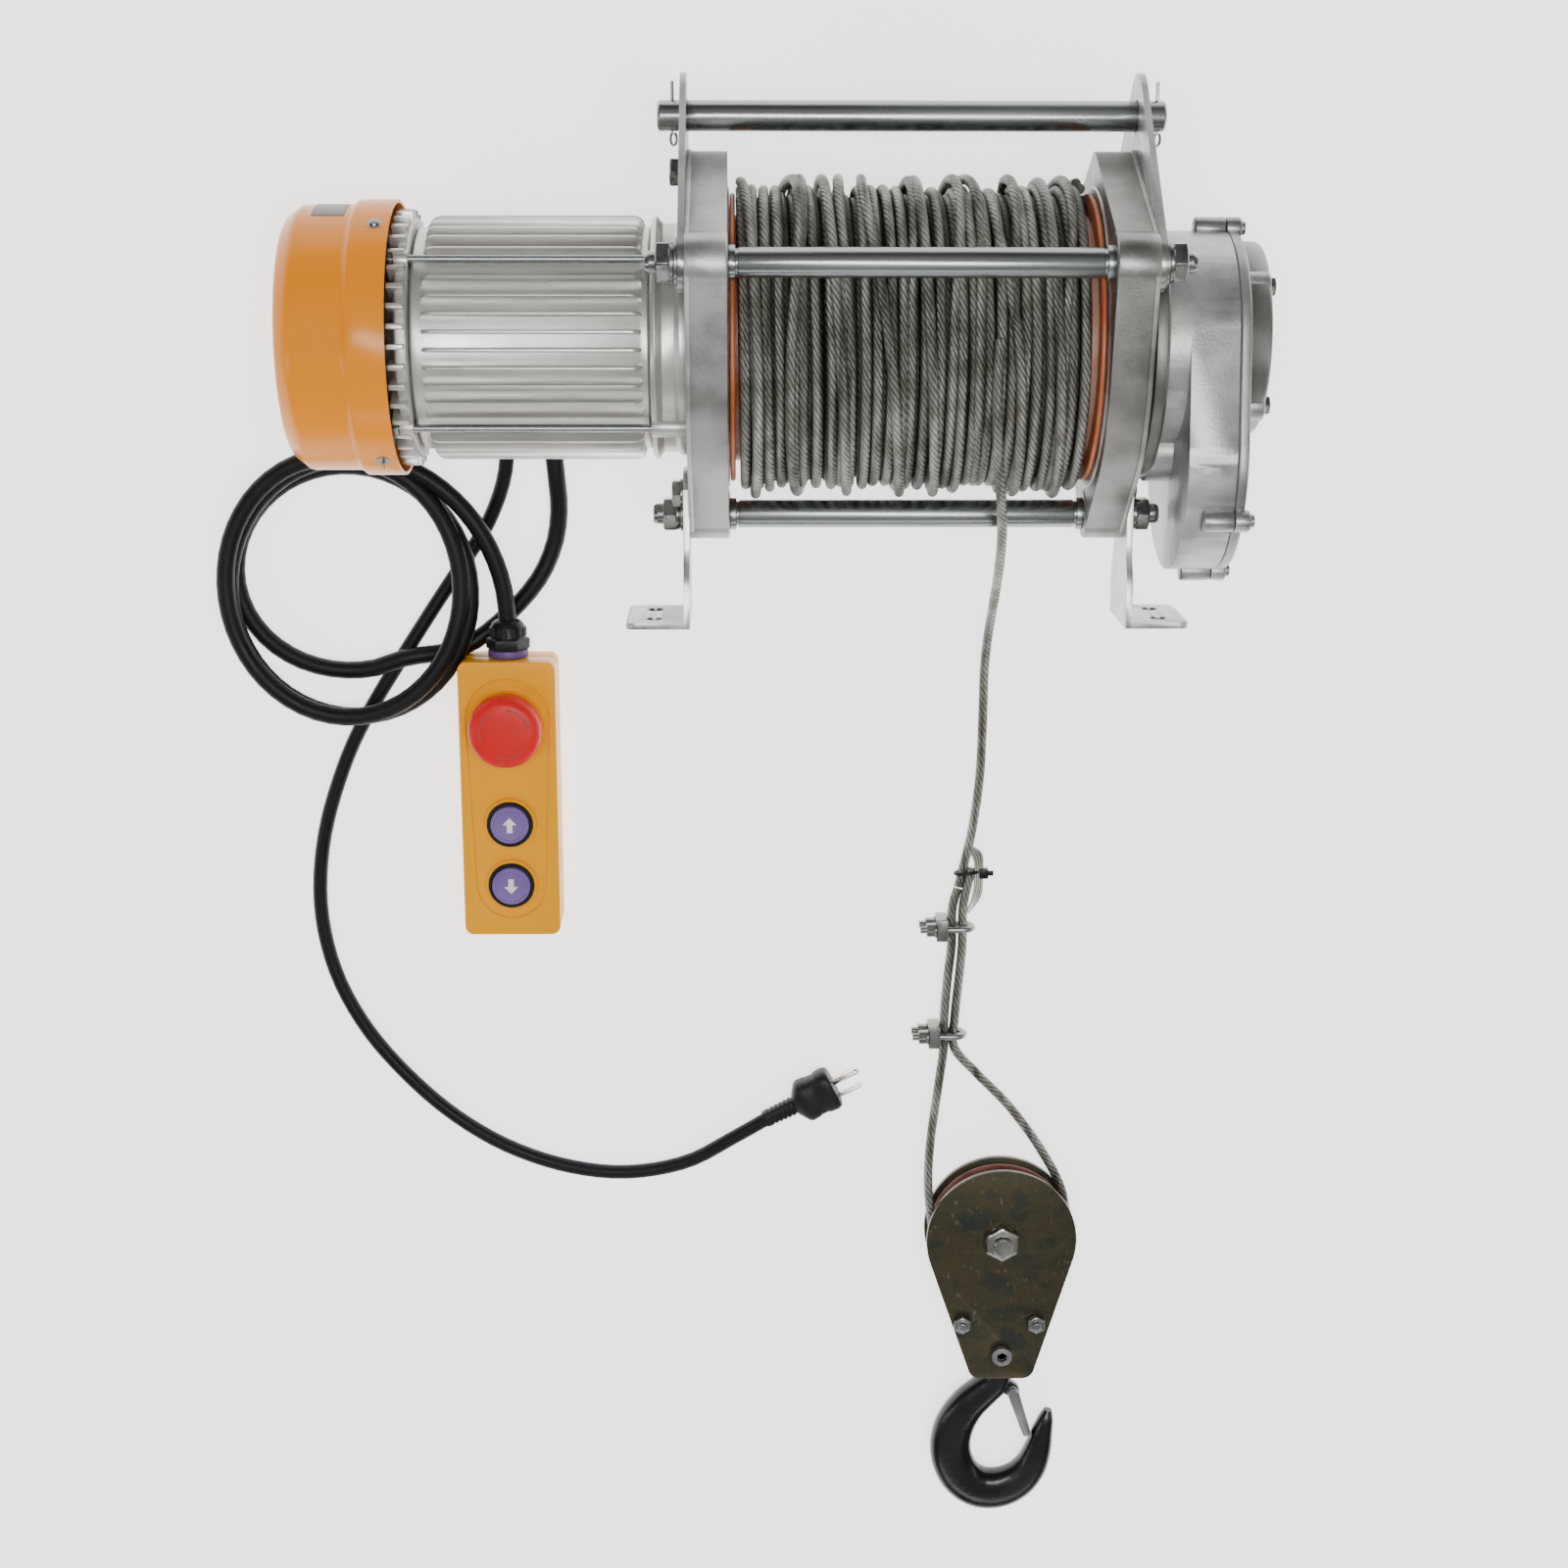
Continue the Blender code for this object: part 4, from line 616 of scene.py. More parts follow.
def pendant_cable_route():
    """From the gland into two and a half loose loops over the mains cord, and on to the pendant."""
    route = [(-0.227, -0.0812, 0.018), (-0.2258, -0.096, 0.0165), (-0.225, -0.119, 0.01),
             (-0.229, -0.143, 0.0064), (-0.241, -0.168, 0.0062), (-0.264, -0.193, 0.0062),
             (-0.293, -0.213, 0.0085)]
    loops = (
        # centre x, centre y, radius x, radius y, height
        (-0.365, -0.158, 0.075, 0.069, 0.013),
        (-0.364, -0.173, 0.08, 0.0845, 0.0215),
        (-0.367, -0.168, 0.077, 0.088, 0.031),
        (-0.371, -0.17, 0.077, 0.088, 0.0345),
    )
    steps = 18
    start = math.radians(-62)
    for k in range(2 * steps + 11):
        turn, share = divmod(k / steps, 1.0)
        ease = share * share * (3 - 2 * share)
        x, y, rx, ry, height = (a + (b - a) * ease for a, b in zip(loops[int(turn)], loops[int(turn) + 1]))
        angle = start - 2 * math.pi * k / steps
        route.append((x + rx * math.cos(angle), y + ry * math.sin(angle), height))
    # A quarter turn, falling to the pendant's gland.
    corner = (-0.361, -0.1912)
    for k in range(1, 12):
        turn = math.radians(90 * k / 11)
        height = 0.0345 - 0.0145 * k / 11
        route.append((corner[0] + 0.1005 * math.sin(turn), corner[1] + 0.111 * math.cos(turn), height))
    return route


def make_cords():
    route = smooth_route(pendant_cable_route(), 0.01)
    cable = piece("pendant_cable_run", tube_mesh(route, CABLE_D / 2, 16), RUBBER,
                  replaces=("pendant_cable", "pendant_cable_coil", "pendant_cable_end"), angle=60)

    route = smooth_route(MAINS_ROUTE, 0.01)
    cord = piece("mains_cord_run", tube_mesh(route, CORD_D / 2, 16), RUBBER,
                 replaces=("mains_cord",), angle=60)
    plug = make_plug()

    route = smooth_route(FALL_ROUTE, 0.004)
    fall = piece("rope_fall_run", tube_mesh(route, ROPE_D / 2, 16, ROPE_LAY), ROPE, None, angle=60)
    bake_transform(fall)
    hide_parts("rope_fall")

    arc = [(*on_circle(SHEAVE_AT, GROOVE_REACH, math.pi * (1 + k / 9)), SHEAVE_AT.z) for k in range(10)]
    route = smooth_route([*LEFT_LEG, *arc, *RIGHT_LEG], 0.004)
    loop = piece("rope_loop_run", tube_mesh(route, ROPE_D / 2, 16, ROPE_LAY), ROPE, "block_body",
                 replaces=("rope_loop",), angle=60)


PLUG_AT = Vector((-0.084, -0.553, 0.012))
PLUG_ANGLE = math.radians(27)


def make_plug():
    along = Vector((math.cos(PLUG_ANGLE), math.sin(PLUG_ANGLE), 0.0))
    path = [(*(PLUG_AT - along * 0.0044), 0.0055, 0.0055)]
    for k in range(6):
        start = -0.001 + k * 0.0034
        for run, width in ((0.0, 0.0058), (0.0018, 0.0058), (0.0018, 0.0052), (0.0034, 0.0052)):
            point = PLUG_AT + along * (start + run)
            path.append((*point, width + 0.0001 * k, width + 0.0001 * k))
    for run, width, height in ((0.02, 0.007, 0.0066), (0.0225, 0.0105, 0.0084), (0.025, 0.014, 0.0104),
                               (0.0275, 0.0153, 0.0114), (0.033, 0.015, 0.0112), (0.0345, 0.0143, 0.0106),
                               (0.04, 0.0143, 0.0106), (0.0415, 0.0152, 0.0113), (0.047, 0.0155, 0.0116),
                               (0.05, 0.0145, 0.0113), (0.051, 0.013, 0.0108)):
        point = PLUG_AT + along * run
        path.append((*point, width, height))
    body = piece("plug_body", sweep(path, 32, 0.62), PLUG_BLACK, bevel=0.0005,
                 replaces=("mains_plug",), angle=40)
    blades = [box((0.049, y, 0.013), (0.069, y + 0.0015, 0.019)) for y in (0.0056, -0.0071)]
    blades.append(turned("X", (0.0, 0.0045), ((0.049, 0.0024), (0.0695, 0.0024), (0.0707, 0.0013)), 20))
    metal = set_at(merge(*blades), Matrix.Rotation(PLUG_ANGLE, 3, "Z"), (PLUG_AT.x, PLUG_AT.y, 0.0))
    pins = piece("plug_pins", metal, NICKEL, bevel=0.0003)
    return [body, pins]


make_cords()


# ---------------------------------------------------------------- end plates, rods, straps and feet

ROD_CIRCLE = 0.108
FRONT_ROD, BACK_ROD, BOTTOM_ROD = (on_circle(MOTOR_LINE, ROD_CIRCLE, math.radians(angle))
                                   for angle in (63, -63, 180))
RODS = (("front", FRONT_ROD), ("back", BACK_ROD), ("bottom", BOTTOM_ROD))
ROD_HOLE, HUB_HOLE = 0.0071, 0.0302
SIDES = (("left", -1), ("right", 1))
TOP_BOLT = (0.099, AXIS_Z)
BAR_AT = (0.132, AXIS_Z)
# How far the faces of the end plates, and of the sheets on them, are from the middle of the drum.
PLATE_IN, PLATE_OUT, SHEET_IN, SHEET_OUT = 0.111, 0.135, 0.1353, 0.1391


def mirrored(profile, sign):
    """A profile as it stands on the right side, or with sign -1 its mirror image on the left."""
    return [(sign * entry[0], *entry[1:]) for entry in profile]


def between(sign, low, high):
    """Where a layer of the right side, or of its mirror image, starts and ends along X."""
    return sorted((sign * low, sign * high))


def foot_bolt_at(sign):
    return (-0.0935, AXIS_Z - sign * 0.0145)


def plate_mesh(sign):
    # The plate stays this far inside the outline of the CAD plate.
    shrink = 0.0004
    outline = band(((*MOTOR_LINE, 0.1 - shrink), (*FRONT_ROD, 0.017 - shrink), (*BACK_ROD, 0.0155 - shrink),
                    (*BOTTOM_ROD, 0.0145 - shrink), (*TOP_BOLT, 0.013 - shrink),
                    (*foot_bolt_at(sign), 0.0135 - shrink)))
    holes = [circle(MOTOR_LINE, HUB_HOLE)]
    holes += [circle(rod, ROD_HOLE, 20) for _, rod in RODS]
    return prism("X", *between(sign, PLATE_IN, PLATE_OUT), outline, holes)


def make_plates():
    for side, sign in SIDES:
        # The right plate takes the copy of the finish that is painted darker as painted shade.
        finish = PLATE_LEFT if side == "left" else PLATE_RIGHT_PAINTED_SHADE
        piece(f"{side}_plate_body", plate_mesh(sign), finish,
              bevel=0.0016, segments=3, replaces=(f"{side}_end_plate",))
        edge = band(((*MOTOR_LINE, 0.1006), (*FRONT_ROD, 0.0174), (*BACK_ROD, 0.0155), (*BOTTOM_ROD, 0.015),
                     (*TOP_BOLT, 0.0136)))
        lip = prism("X", *between(sign, 0.1325, 0.1352), edge, [circle(MOTOR_LINE, HUB_HOLE)])
        piece(f"{side}_plate_parting_lip", lip, finish, bevel=0.0005)
        bosses = []
        for centre, radius in ((FRONT_ROD, 0.0178), (BOTTOM_ROD, 0.0153), (BACK_ROD, 0.0153)):
            profile = ((0.1103, radius - 0.0015), (0.111, radius), (0.1352, radius))
            bosses.append(turned("X", centre, mirrored(profile, sign), 48))
        piece(f"{side}_plate_bosses", merge(*bosses), finish, bevel=0.0008)
        profile = ((0.1101, 0.0315), (0.1101, 0.09), (0.1112, 0.0915), (0.1112, 0.0315))
        ring = turned("X", MOTOR_LINE, mirrored(profile, sign), 72, ring=True)
        piece(f"{side}_plate_inner_ring", ring, finish)


def threaded(low, high, radius, pitch=0.0015):
    """Ridges of a thread along X, then a chamfered end."""
    count = int(abs(high - low) / pitch) - 1
    profile = []
    for k in range(count):
        at = low + pitch * k
        profile += [(at, radius - 0.00035), (at + pitch * 0.5, radius)]
    return [*profile, (low + pitch * count, radius - 0.0003), (high, radius - 0.0012)]


def make_rods():
    half = [(0.1045, 0.0087), (0.1045, 0.0079), (0.1062, 0.0079), (0.1062, 0.01), (0.1108, 0.01),
            (0.1108, 0.0068)] + [(x, r - 0.00015) for x, r in threaded(0.1392, 0.158, 0.0068)]
    profile = mirrored(half[::-1], -1) + half
    # The nuts and washers stand this far out, and have this bore.
    face, bore = SHEET_OUT + 0.0001, 0.0069
    for name, centre in RODS:
        piece(f"rod_{name}_turned", turned("X", centre, profile, 48), ROD, bevel=0.0003,
              replaces=(f"tie_rod_{name}",))
        flats, washer = (0.0095, 0.0108) if name == "bottom" else (0.011, 0.014)
        for side, sign in SIDES:
            nut = ((face + 0.0043, flats * 1.06), (face + 0.0049, flats, 6), (face + 0.0118, flats, 6),
                   (face + 0.0127, flats * 0.93), (face + 0.0127, bore), (face + 0.0025, bore),
                   (face + 0.0025, flats * 1.06))
            piece(f"nut_{name}_{side}", turned("X", centre, mirrored(nut, sign), 48, ring=True), BOLT,
                  bevel=0.0004, replaces=(f"rod_nut_{name}_{side}",))
            washers = collar("X", centre, sign * face, sign * (face + 0.0018), bore, washer, 48)
            spring = collar("X", centre, sign * (face + 0.0019), sign * (face + 0.0041), bore, flats * 0.98,
                            40)
            piece(f"washers_{name}_{side}", merge(washers, spring), ZINC, bevel=0.0002)


def bolt_head(centre, sign):
    """A hexagon head with a chamfered top, over a plain washer, on a sheet."""
    face, flats, height, washer = SHEET_OUT + GAP, 0.008, 0.0056, 0.0092
    head = ((face + 0.0012, flats), (face + 0.0013, flats * 0.99, 6),
            (face + 0.001 + height * 0.85, flats, 6), (face + 0.001 + height, flats * 0.9))
    plain = ((face, washer), (face + 0.0012, washer))
    return merge(*(turned("X", centre, mirrored(profile, sign), 48) for profile in (head, plain)))


def make_straps():
    for side, sign in SIDES:
        low, high = between(sign, SHEET_IN, SHEET_OUT)
        outline = band(((*BAR_AT, 0.025), (*FRONT_ROD, 0.0165), (*BACK_ROD, 0.0152)))
        holes = [circle(rod, ROD_HOLE, 24) for rod in (FRONT_ROD, BACK_ROD)] + [circle(BAR_AT, 0.0096, 40)]
        arch = cylinder("X", MOTOR_LINE, low - 0.01, high + 0.01, 0.0905, 128)
        piece(f"{side}_strap_sheet", prism("X", low, high, outline, holes), SHEET, bevel=0.0009,
              segments=3, replaces=(f"{side}_hanger_strap",), cut=[arch])
        piece(f"{side}_strap_bolt", bolt_head(TOP_BOLT, sign), BOLT, bevel=0.0004,
              replaces=(f"{side}_top_bolt",))

    end = 0.153
    profile = ((-end, 0.0078), (-end + 0.0014, 0.0091), (end - 0.0014, 0.0091), (end, 0.0078))
    piece("suspension_bar_turned", turned("X", BAR_AT, profile, 64), ROD, "bar_body", bevel=0.0004,
          replaces=("suspension_bar",))
    for name, x in (("left", -0.144), ("right", 0.148)):
        leg = [(x, y, AXIS_Z) for y in (0.152, 0.132, 0.1228)]
        loop = []
        for k in range(15):
            turn = 2 * math.pi * k / 15 + math.pi / 2
            loop.append((x + 0.0007 + 0.0018 * math.cos(turn), 0.1185 + 0.0038 * math.sin(turn),
                         AXIS_Z + 0.0008 * math.sin(turn)))
        leg = tube_mesh(smooth_route(leg, 0.004), 0.001, 10)
        eye = tube_mesh(smooth_route(loop, 0.0012), 0.0008, 10)
        piece(f"cotter_pin_{name}", merge(leg, eye), ZINC, "bar_body")


def make_feet():
    for side, sign in SIDES:
        bolt = foot_bolt_at(sign)
        half = [(-0.08, 0.012), (-0.083, 0.0185), (-0.09, 0.024), (-0.124, 0.024), (-0.133, 0.0255),
                (-0.141, 0.03), (-0.148, 0.033), (-0.1755, 0.033)]
        outline = [(y, AXIS_Z + dz) for y, dz in half] + [(y, AXIS_Z - dz) for y, dz in reversed(half)]
        holes = [circle(BOTTOM_ROD, ROD_HOLE, 24), circle(bolt, 0.0053, 20)]
        wall = prism("X", *between(sign, SHEET_IN, SHEET_OUT), outline, holes)
        inner, outer, half_width, corner, small = 0.1363, 0.175, 0.033, 0.006, 0.001
        flat = band([(AXIS_Z + way * (half_width - radius), sign * x, radius) for x, radius in
                     ((outer - corner, corner), (inner + small, small)) for way in (-1, 1)], 32)
        slots = [circle((AXIS_Z + dz, sign * 0.158), 0.005, 28) for dz in (-0.0165, 0.0165)]
        plate = prism("Y", -0.1755, -0.1717, flat, slots)
        piece(f"{side}_foot_sheet", wall, SHEET, bevel=0.0008, segments=3, add=[plate],
              replaces=(f"{side}_foot",))
        piece(f"{side}_foot_bolt_head", bolt_head(bolt, sign), BOLT, bevel=0.0004,
              replaces=(f"{side}_foot_bolt",))


# ---------------------------------------------------------------- motor


# How far the through-studs stand to the side of the motor's axis, and the fins' tips from it.
STUD_Y, FIN_TIP = 0.0495, 0.0735


def fin(low, high, root, tip, thick, angle):
    """One cooling fin along X with rounded ends, standing on the round housing."""
    corner = 0.006
    outline = [(low, root), (high, root), (high, tip - corner)]
    outline += [on_circle((high - corner, tip - corner), corner, math.pi / 2 * k / 5) for k in range(1, 6)]
    outline += [on_circle((low + corner, tip - corner), corner, math.pi / 2 * (1 + k / 5))
                for k in range(5)]
    outline += [(low, tip - corner)]
    sides = []
    for across in (-1, 1):
        sides.append([(x, across * thick * (0.78 if r > root + 0.003 else 1.0), r) for x, r in outline])
    return set_at(loft(sides), Matrix.Rotation(angle, 3, "X"), (0, 0, AXIS_Z))


def make_motor():
    left, right = -0.298, -0.157
    root = turned("X", MOTOR_LINE, ((left, 0.065), (left + 0.0015, 0.0668), (left + 0.006, 0.0668),
                                    (left + 0.008, 0.066), (right - 0.008, 0.066), (right - 0.006, 0.0668),
                                    (right - 0.0012, 0.0668), (right, 0.065)), 144)
    pad = box((left + 0.004, -0.045, AXIS_Z - 0.073), (right - 0.004, 0.045, AXIS_Z - 0.04))
    piece("motor_housing_shell", root, MOTOR_CAST, bevel=0.0004, replaces=("motor_housing",),
          add=[pad])
    fins = []
    for k in range(42):
        angle = 2 * math.pi * k / 42 + 0.03
        y, z = -math.sin(angle), math.cos(angle)
        near_stud = abs(abs(y) * FIN_TIP - STUD_Y) < 0.0042
        on_pad = z < 0 and abs(y) * FIN_TIP < 0.046
        if not near_stud and not on_pad:
            fins.append(fin(left + 0.0075, right - 0.0045, 0.062, FIN_TIP, 0.0013, angle))
    piece("motor_cooling_fins", merge(*fins), MOTOR_CAST, bevel=0.0004)

    studs, clamps, lugs = [], [], []
    for y_sign in (-1, 1):
        for z_sign in (-1, 1):
            y, z = y_sign * STUD_Y, AXIS_Z + z_sign * 0.053
            studs.append(cylinder("X", (y, z), -0.3095, -0.15, 0.0024, 20))
            for low, high, radius in ((-0.1567, -0.1353, 0.0062), (-0.3068, -0.2983, 0.0058)):
                lugs.append(cylinder("X", (y * 0.985, AXIS_Z + z_sign * 0.051), low, high, radius, 28))
            clamps.append(hexagon("X", (y, z), -0.3125, -0.3072, 0.0042, 24))
    piece("motor_through_studs", merge(*studs), ROD)
    piece("motor_stud_lugs", merge(*lugs), MOTOR_CAST, bevel=0.0006)
    piece("motor_stud_nuts", merge(*clamps), BOLT, bevel=0.0003)

    flange = ((-0.163, 0.05), (-0.163, 0.0575), (-0.1567, 0.0575), (-0.1567, 0.0722), (-0.1535, 0.0735),
              (-0.1525, 0.0715), (-0.15, 0.069), (-0.142, 0.069), (-0.14, 0.071), (-SHEET_IN, 0.071),
              (-SHEET_IN, 0.0085), (-0.15, 0.0085), (-0.15, 0.05))
    piece("motor_flange_cast", turned("X", MOTOR_LINE, flange, 96, ring=True), MOTOR_CAST,
          bevel=0.0006, replaces=("motor_front_flange",))
    shield = ((-0.2983, 0.0085), (-0.2983, 0.0712), (-0.3, 0.072), (-0.3055, 0.072), (-0.307, 0.07),
              (-0.3085, 0.062), (-0.311, 0.06), (-0.315, 0.056), (-0.315, 0.0085))
    piece("motor_shield_cast", turned("X", MOTOR_LINE, shield, 96, ring=True), CAST,
          bevel=0.0006, replaces=("motor_rear_shield",))
    ribs = []
    for k in range(40):
        angle = 2 * math.pi * k / 40
        if math.cos(angle) > -0.75:
            rib = box((-0.31, -0.0016, 0.06), (-0.3, 0.0016, 0.0772))
            ribs.append(set_at(rib, Matrix.Rotation(angle, 3, "X"), (0, 0, AXIS_Z)))
    piece("motor_shield_ribs", merge(*ribs), MOTOR_CAST, bevel=0.0004)
    make_fan_cover()


def make_fan_cover():
    rim, body = 0.083, 0.08
    outside = ((-0.31, rim), (-0.33, rim), (-0.3325, rim - 0.0002), (-0.335, body + 0.0006), (-0.337, body),
               (-0.365, body), (-0.3672, body - 0.0005), (-0.369, body - 0.0018), (-0.375, 0.0735),
               (-0.3765, 0.071), (-0.377, 0.068), (-0.377, 0.0))
    inside = ((-0.375, 0.0), (-0.375, 0.0675), (-0.373, 0.0725), (-0.366, body - 0.002),
              (-0.335, body - 0.002), (-0.331, rim - 0.002), (-0.31, rim - 0.002))
    vents = []
    rings = ((1, 0.0, 0.0045), (7, 0.022, 0.0052), (12, 0.044, 0.0058))
    for ring, (count, reach, radius) in enumerate(rings):
        for k in range(count):
            angle = 2 * math.pi * (k + 0.5 * ring) / count
            centre = on_circle(MOTOR_LINE, reach, angle)
            vents.append(cylinder("X", centre, -0.4, -0.37, radius, 24))
    piece("fan_cover_shell", turned("X", MOTOR_LINE, outside + inside, 128, ring=True), YELLOW,
          bevel=0.0004, replaces=("fan_cover",), cut=[merge(*vents)], angle=28)
    for name, angle in (("upper", 33), ("lower", 147)):
        turn = math.radians(angle)
        out = Vector((0, math.cos(turn), math.sin(turn)))
        centre = Vector((-0.3185, 0, AXIS_Z)) + out * rim
        dome = ((-0.001, 0.0033), (0.0006, 0.0034), (0.0015, 0.0028), (0.002, 0.0012))
        head = turned("Z", (0.0, 0.0), dome, 28)
        washer = cylinder("Z", (0.0, 0.0), -0.001, 0.0003, 0.0046, 28)
        groove = box((-0.0004, -0.004, 0.0012), (0.0004, 0.004, 0.004))
        spin = Vector((0, 0, 1)).rotation_difference(out).to_matrix()
        for solid in (head, washer, groove):
            set_at(solid, spin, centre)
        piece(f"cover_screw_{name}", merge(head, washer), BOLT, cut=[groove])
    under, over = body - 0.0004, body + 0.0003
    plate = []
    for k in range(9):
        turn = math.radians(2 + 2.6 * k)
        corners = ((-0.358, under), (-0.358, over), (-0.3385, over), (-0.3385, under))
        plate.append([(x, *on_circle(MOTOR_LINE, reach, turn)) for x, reach in corners])
    piece("cover_plain_label", loft(plate), LABEL)


def make_terminal_box():
    top = AXIS_Z - 0.073 - GAP
    low, high = (-0.296, -0.06, 0.0), (-0.166, 0.06, top)
    hollow = box((low[0] + 0.0025, low[1] + 0.0025, 0.0025),
                 (high[0] - 0.0025, high[1] - 0.0025, top + 0.01))
    piece("terminal_box_shell", box(low, high), BLACK, bevel=0.0022, segments=4,
          replaces=("terminal_box",), cut=[hollow])
    seam = box((low[0] - 0.0006, low[1] - 0.0006, 0.0085), (high[0] + 0.0006, high[1] + 0.0006, 0.01))
    piece("terminal_box_lid_edge", seam, BLACK, bevel=0.0003)
    places = [(x, y) for x in (-0.287, -0.175) for y in (-0.051, 0.051)]
    screws = [cylinder("Z", at, 0.0002, 0.0012, 0.0035, 24) for at in places]
    piece("terminal_box_lid_screws", merge(*screws), BOLT)
    face = low[1] - GAP
    for name, x, z in (("pendant_cable_gland", -0.227, 0.018), ("mains_cord_gland", -0.258, 0.018)):
        nut = [(face + 0.007, 0.0078), (face, 0.0078), (face, 0.011, 6), (face - 0.0055, 0.011, 6),
               (face - 0.006, 0.0104), (face - 0.0075, 0.0104)]
        dome = [(face - 0.008, 0.0104), (face - 0.014, 0.0102), (face - 0.017, 0.0092),
                (face - 0.019, 0.0076), (face - 0.0194, 0.0064)]
        piece(f"{name}_body", turned("Y", (z, x), nut + dome, 48), BLACK, bevel=0.0003,
              replaces=(name,))


# ---------------------------------------------------------------- gearbox

COUNTER_AT = (-0.0679, AXIS_Z)


def lug_places():
    """Where the cover's screws stand, round the drum's axis and round the countershaft."""
    at = [(MOTOR_LINE, 0.0665, angle) for angle in (0, -68)]
    at += [(COUNTER_AT, 0.076, angle) for angle in (180, 118, -118)]
    return [on_circle(centre, reach, math.radians(angle)) for centre, reach, angle in at]


def make_gearbox():
    def body_band(shrink=0.0):
        return band(((*MOTOR_LINE, 0.065 - shrink), (*COUNTER_AT, 0.0745 - shrink)), 144)

    ring = turned("X", MOTOR_LINE, ((SHEET_IN, 0.0775), (SHEET_OUT + GAP, 0.0775),
                                    (SHEET_OUT + GAP, 0.0845), (0.146, 0.0845), (0.1475, 0.083)), 128)
    neck = cylinder("X", MOTOR_LINE, 0.1463, 0.164, 0.065, 144)
    pivot_boss = turned("X", COUNTER_AT, ((0.1463, 0.0185), (0.1478, 0.02), (0.164, 0.02)), 64)

    def lugs(profile, steps=32):
        return merge(*(turned("X", at, profile, steps) for at in lug_places()))

    piece("gearbox_housing_cast", prism("X", 0.163, 0.1917, body_band()), GEAR_CAST,
          bevel=0.0022, segments=3, replaces=("gearbox_housing",), add=[neck, pivot_boss])
    piece("gearbox_mount_ring", ring, GEAR_RING, bevel=0.0006)
    piece("gearbox_housing_lugs", lugs(((0.173, 0.006), (0.1742, 0.0066), (0.1919, 0.0066))), GEAR_CAST,
          bevel=0.0008)
    piece("gearbox_gasket", prism("X", 0.1916, 0.1925, body_band(0.0007)), GASKET)

    piece("gearbox_cover_cast", prism("X", 0.1924, 0.199, body_band()), COVER_CAST, bevel=0.0016,
          segments=3, replaces=("gearbox_cover",))
    piece("gearbox_cover_lugs", lugs(((0.1925, 0.0066), (0.201, 0.0066), (0.202, 0.0058))), COVER_CAST,
          bevel=0.0006)
    cap = turned("X", MOTOR_LINE, ((0.198, 0.06), (0.1995, 0.059), (0.2105, 0.0585), (0.2125, 0.0575),
                                   (0.213, 0.056)), 112)
    boss = turned("X", (-0.0755, AXIS_Z), ((0.198, 0.016), (0.208, 0.0155), (0.209, 0.0145)), 48)
    bolts, heads = [], []
    for angle in (47, 133, 227, 313):
        centre = on_circle((-0.002, AXIS_Z), 0.0515, math.radians(angle))
        bolts.append(turned("X", centre, ((0.198, 0.0098), (0.212, 0.0093), (0.2128, 0.0085)), 36))
        heads.append(turned("X", centre, ((0.2127, 0.0052, 6), (0.216, 0.0052, 6), (0.2166, 0.0046)), 36))
    piece("gearbox_bearing_housing", merge(cap, boss, *bolts), COVER_CAST, bevel=0.0008)
    piece("gearbox_bolt_heads", merge(*heads), BOLT, bevel=0.0003)
    sockets = lugs(((0.203, 0.002, 6), (0.206, 0.002, 6)), 24)
    piece("gearbox_lug_screws", lugs(((0.2019, 0.004), (0.2042, 0.004), (0.2046, 0.0034)), 24), THREAD,
          cut=[sockets])
    lid = ((0.2133, 0.0398), (0.215, 0.04), (0.216, 0.0392), (0.216, 0.025), (0.2153, 0.0235),
           (0.2153, 0.009), (0.2158, 0.0082), (0.2158, 0.0))
    piece("bearing_cap_turned", turned("X", MOTOR_LINE, lid, 96), DARK_CAST, bevel=0.0003,
          replaces=("bearing_cap",))


# ---------------------------------------------------------------- drum and its rope

def make_drum():
    for side, sign in SIDES:
        profile = mirrored(((0.1066, 0.031), (0.1066, 0.0862), (0.1074, 0.087), (0.1088, 0.087),
                            (0.1097, 0.086), (0.1097, 0.031)), sign)
        holes = []
        for k in range(3):
            at = on_circle(MOTOR_LINE, 0.05, 2 * math.pi * k / 3)
            holes.append(cylinder("X", at, -0.12, 0.12, 0.012, 36))
        piece(f"drum_flange_{side}", turned("X", MOTOR_LINE, profile, 128, ring=True), ORANGE, "drum_body",
              bevel=0.0003, cut=[merge(*holes)])
    barrel = collar("X", MOTOR_LINE, -0.1066, 0.1066, 0.02, 0.074, 96)
    piece("drum_barrel", barrel, ORANGE, "drum_body")
    shaft = ((-0.1335, 0.012), (-0.1335, 0.0297), (-0.1064, 0.0297), (0.1064, 0.0297), (0.135, 0.0297),
             (0.135, 0.022), (0.168, 0.022), (0.168, 0.012))
    piece("drum_journal", turned("X", MOTOR_LINE, shaft, 64, ring=True), ROD, "drum_body",
          replaces=("drum",))


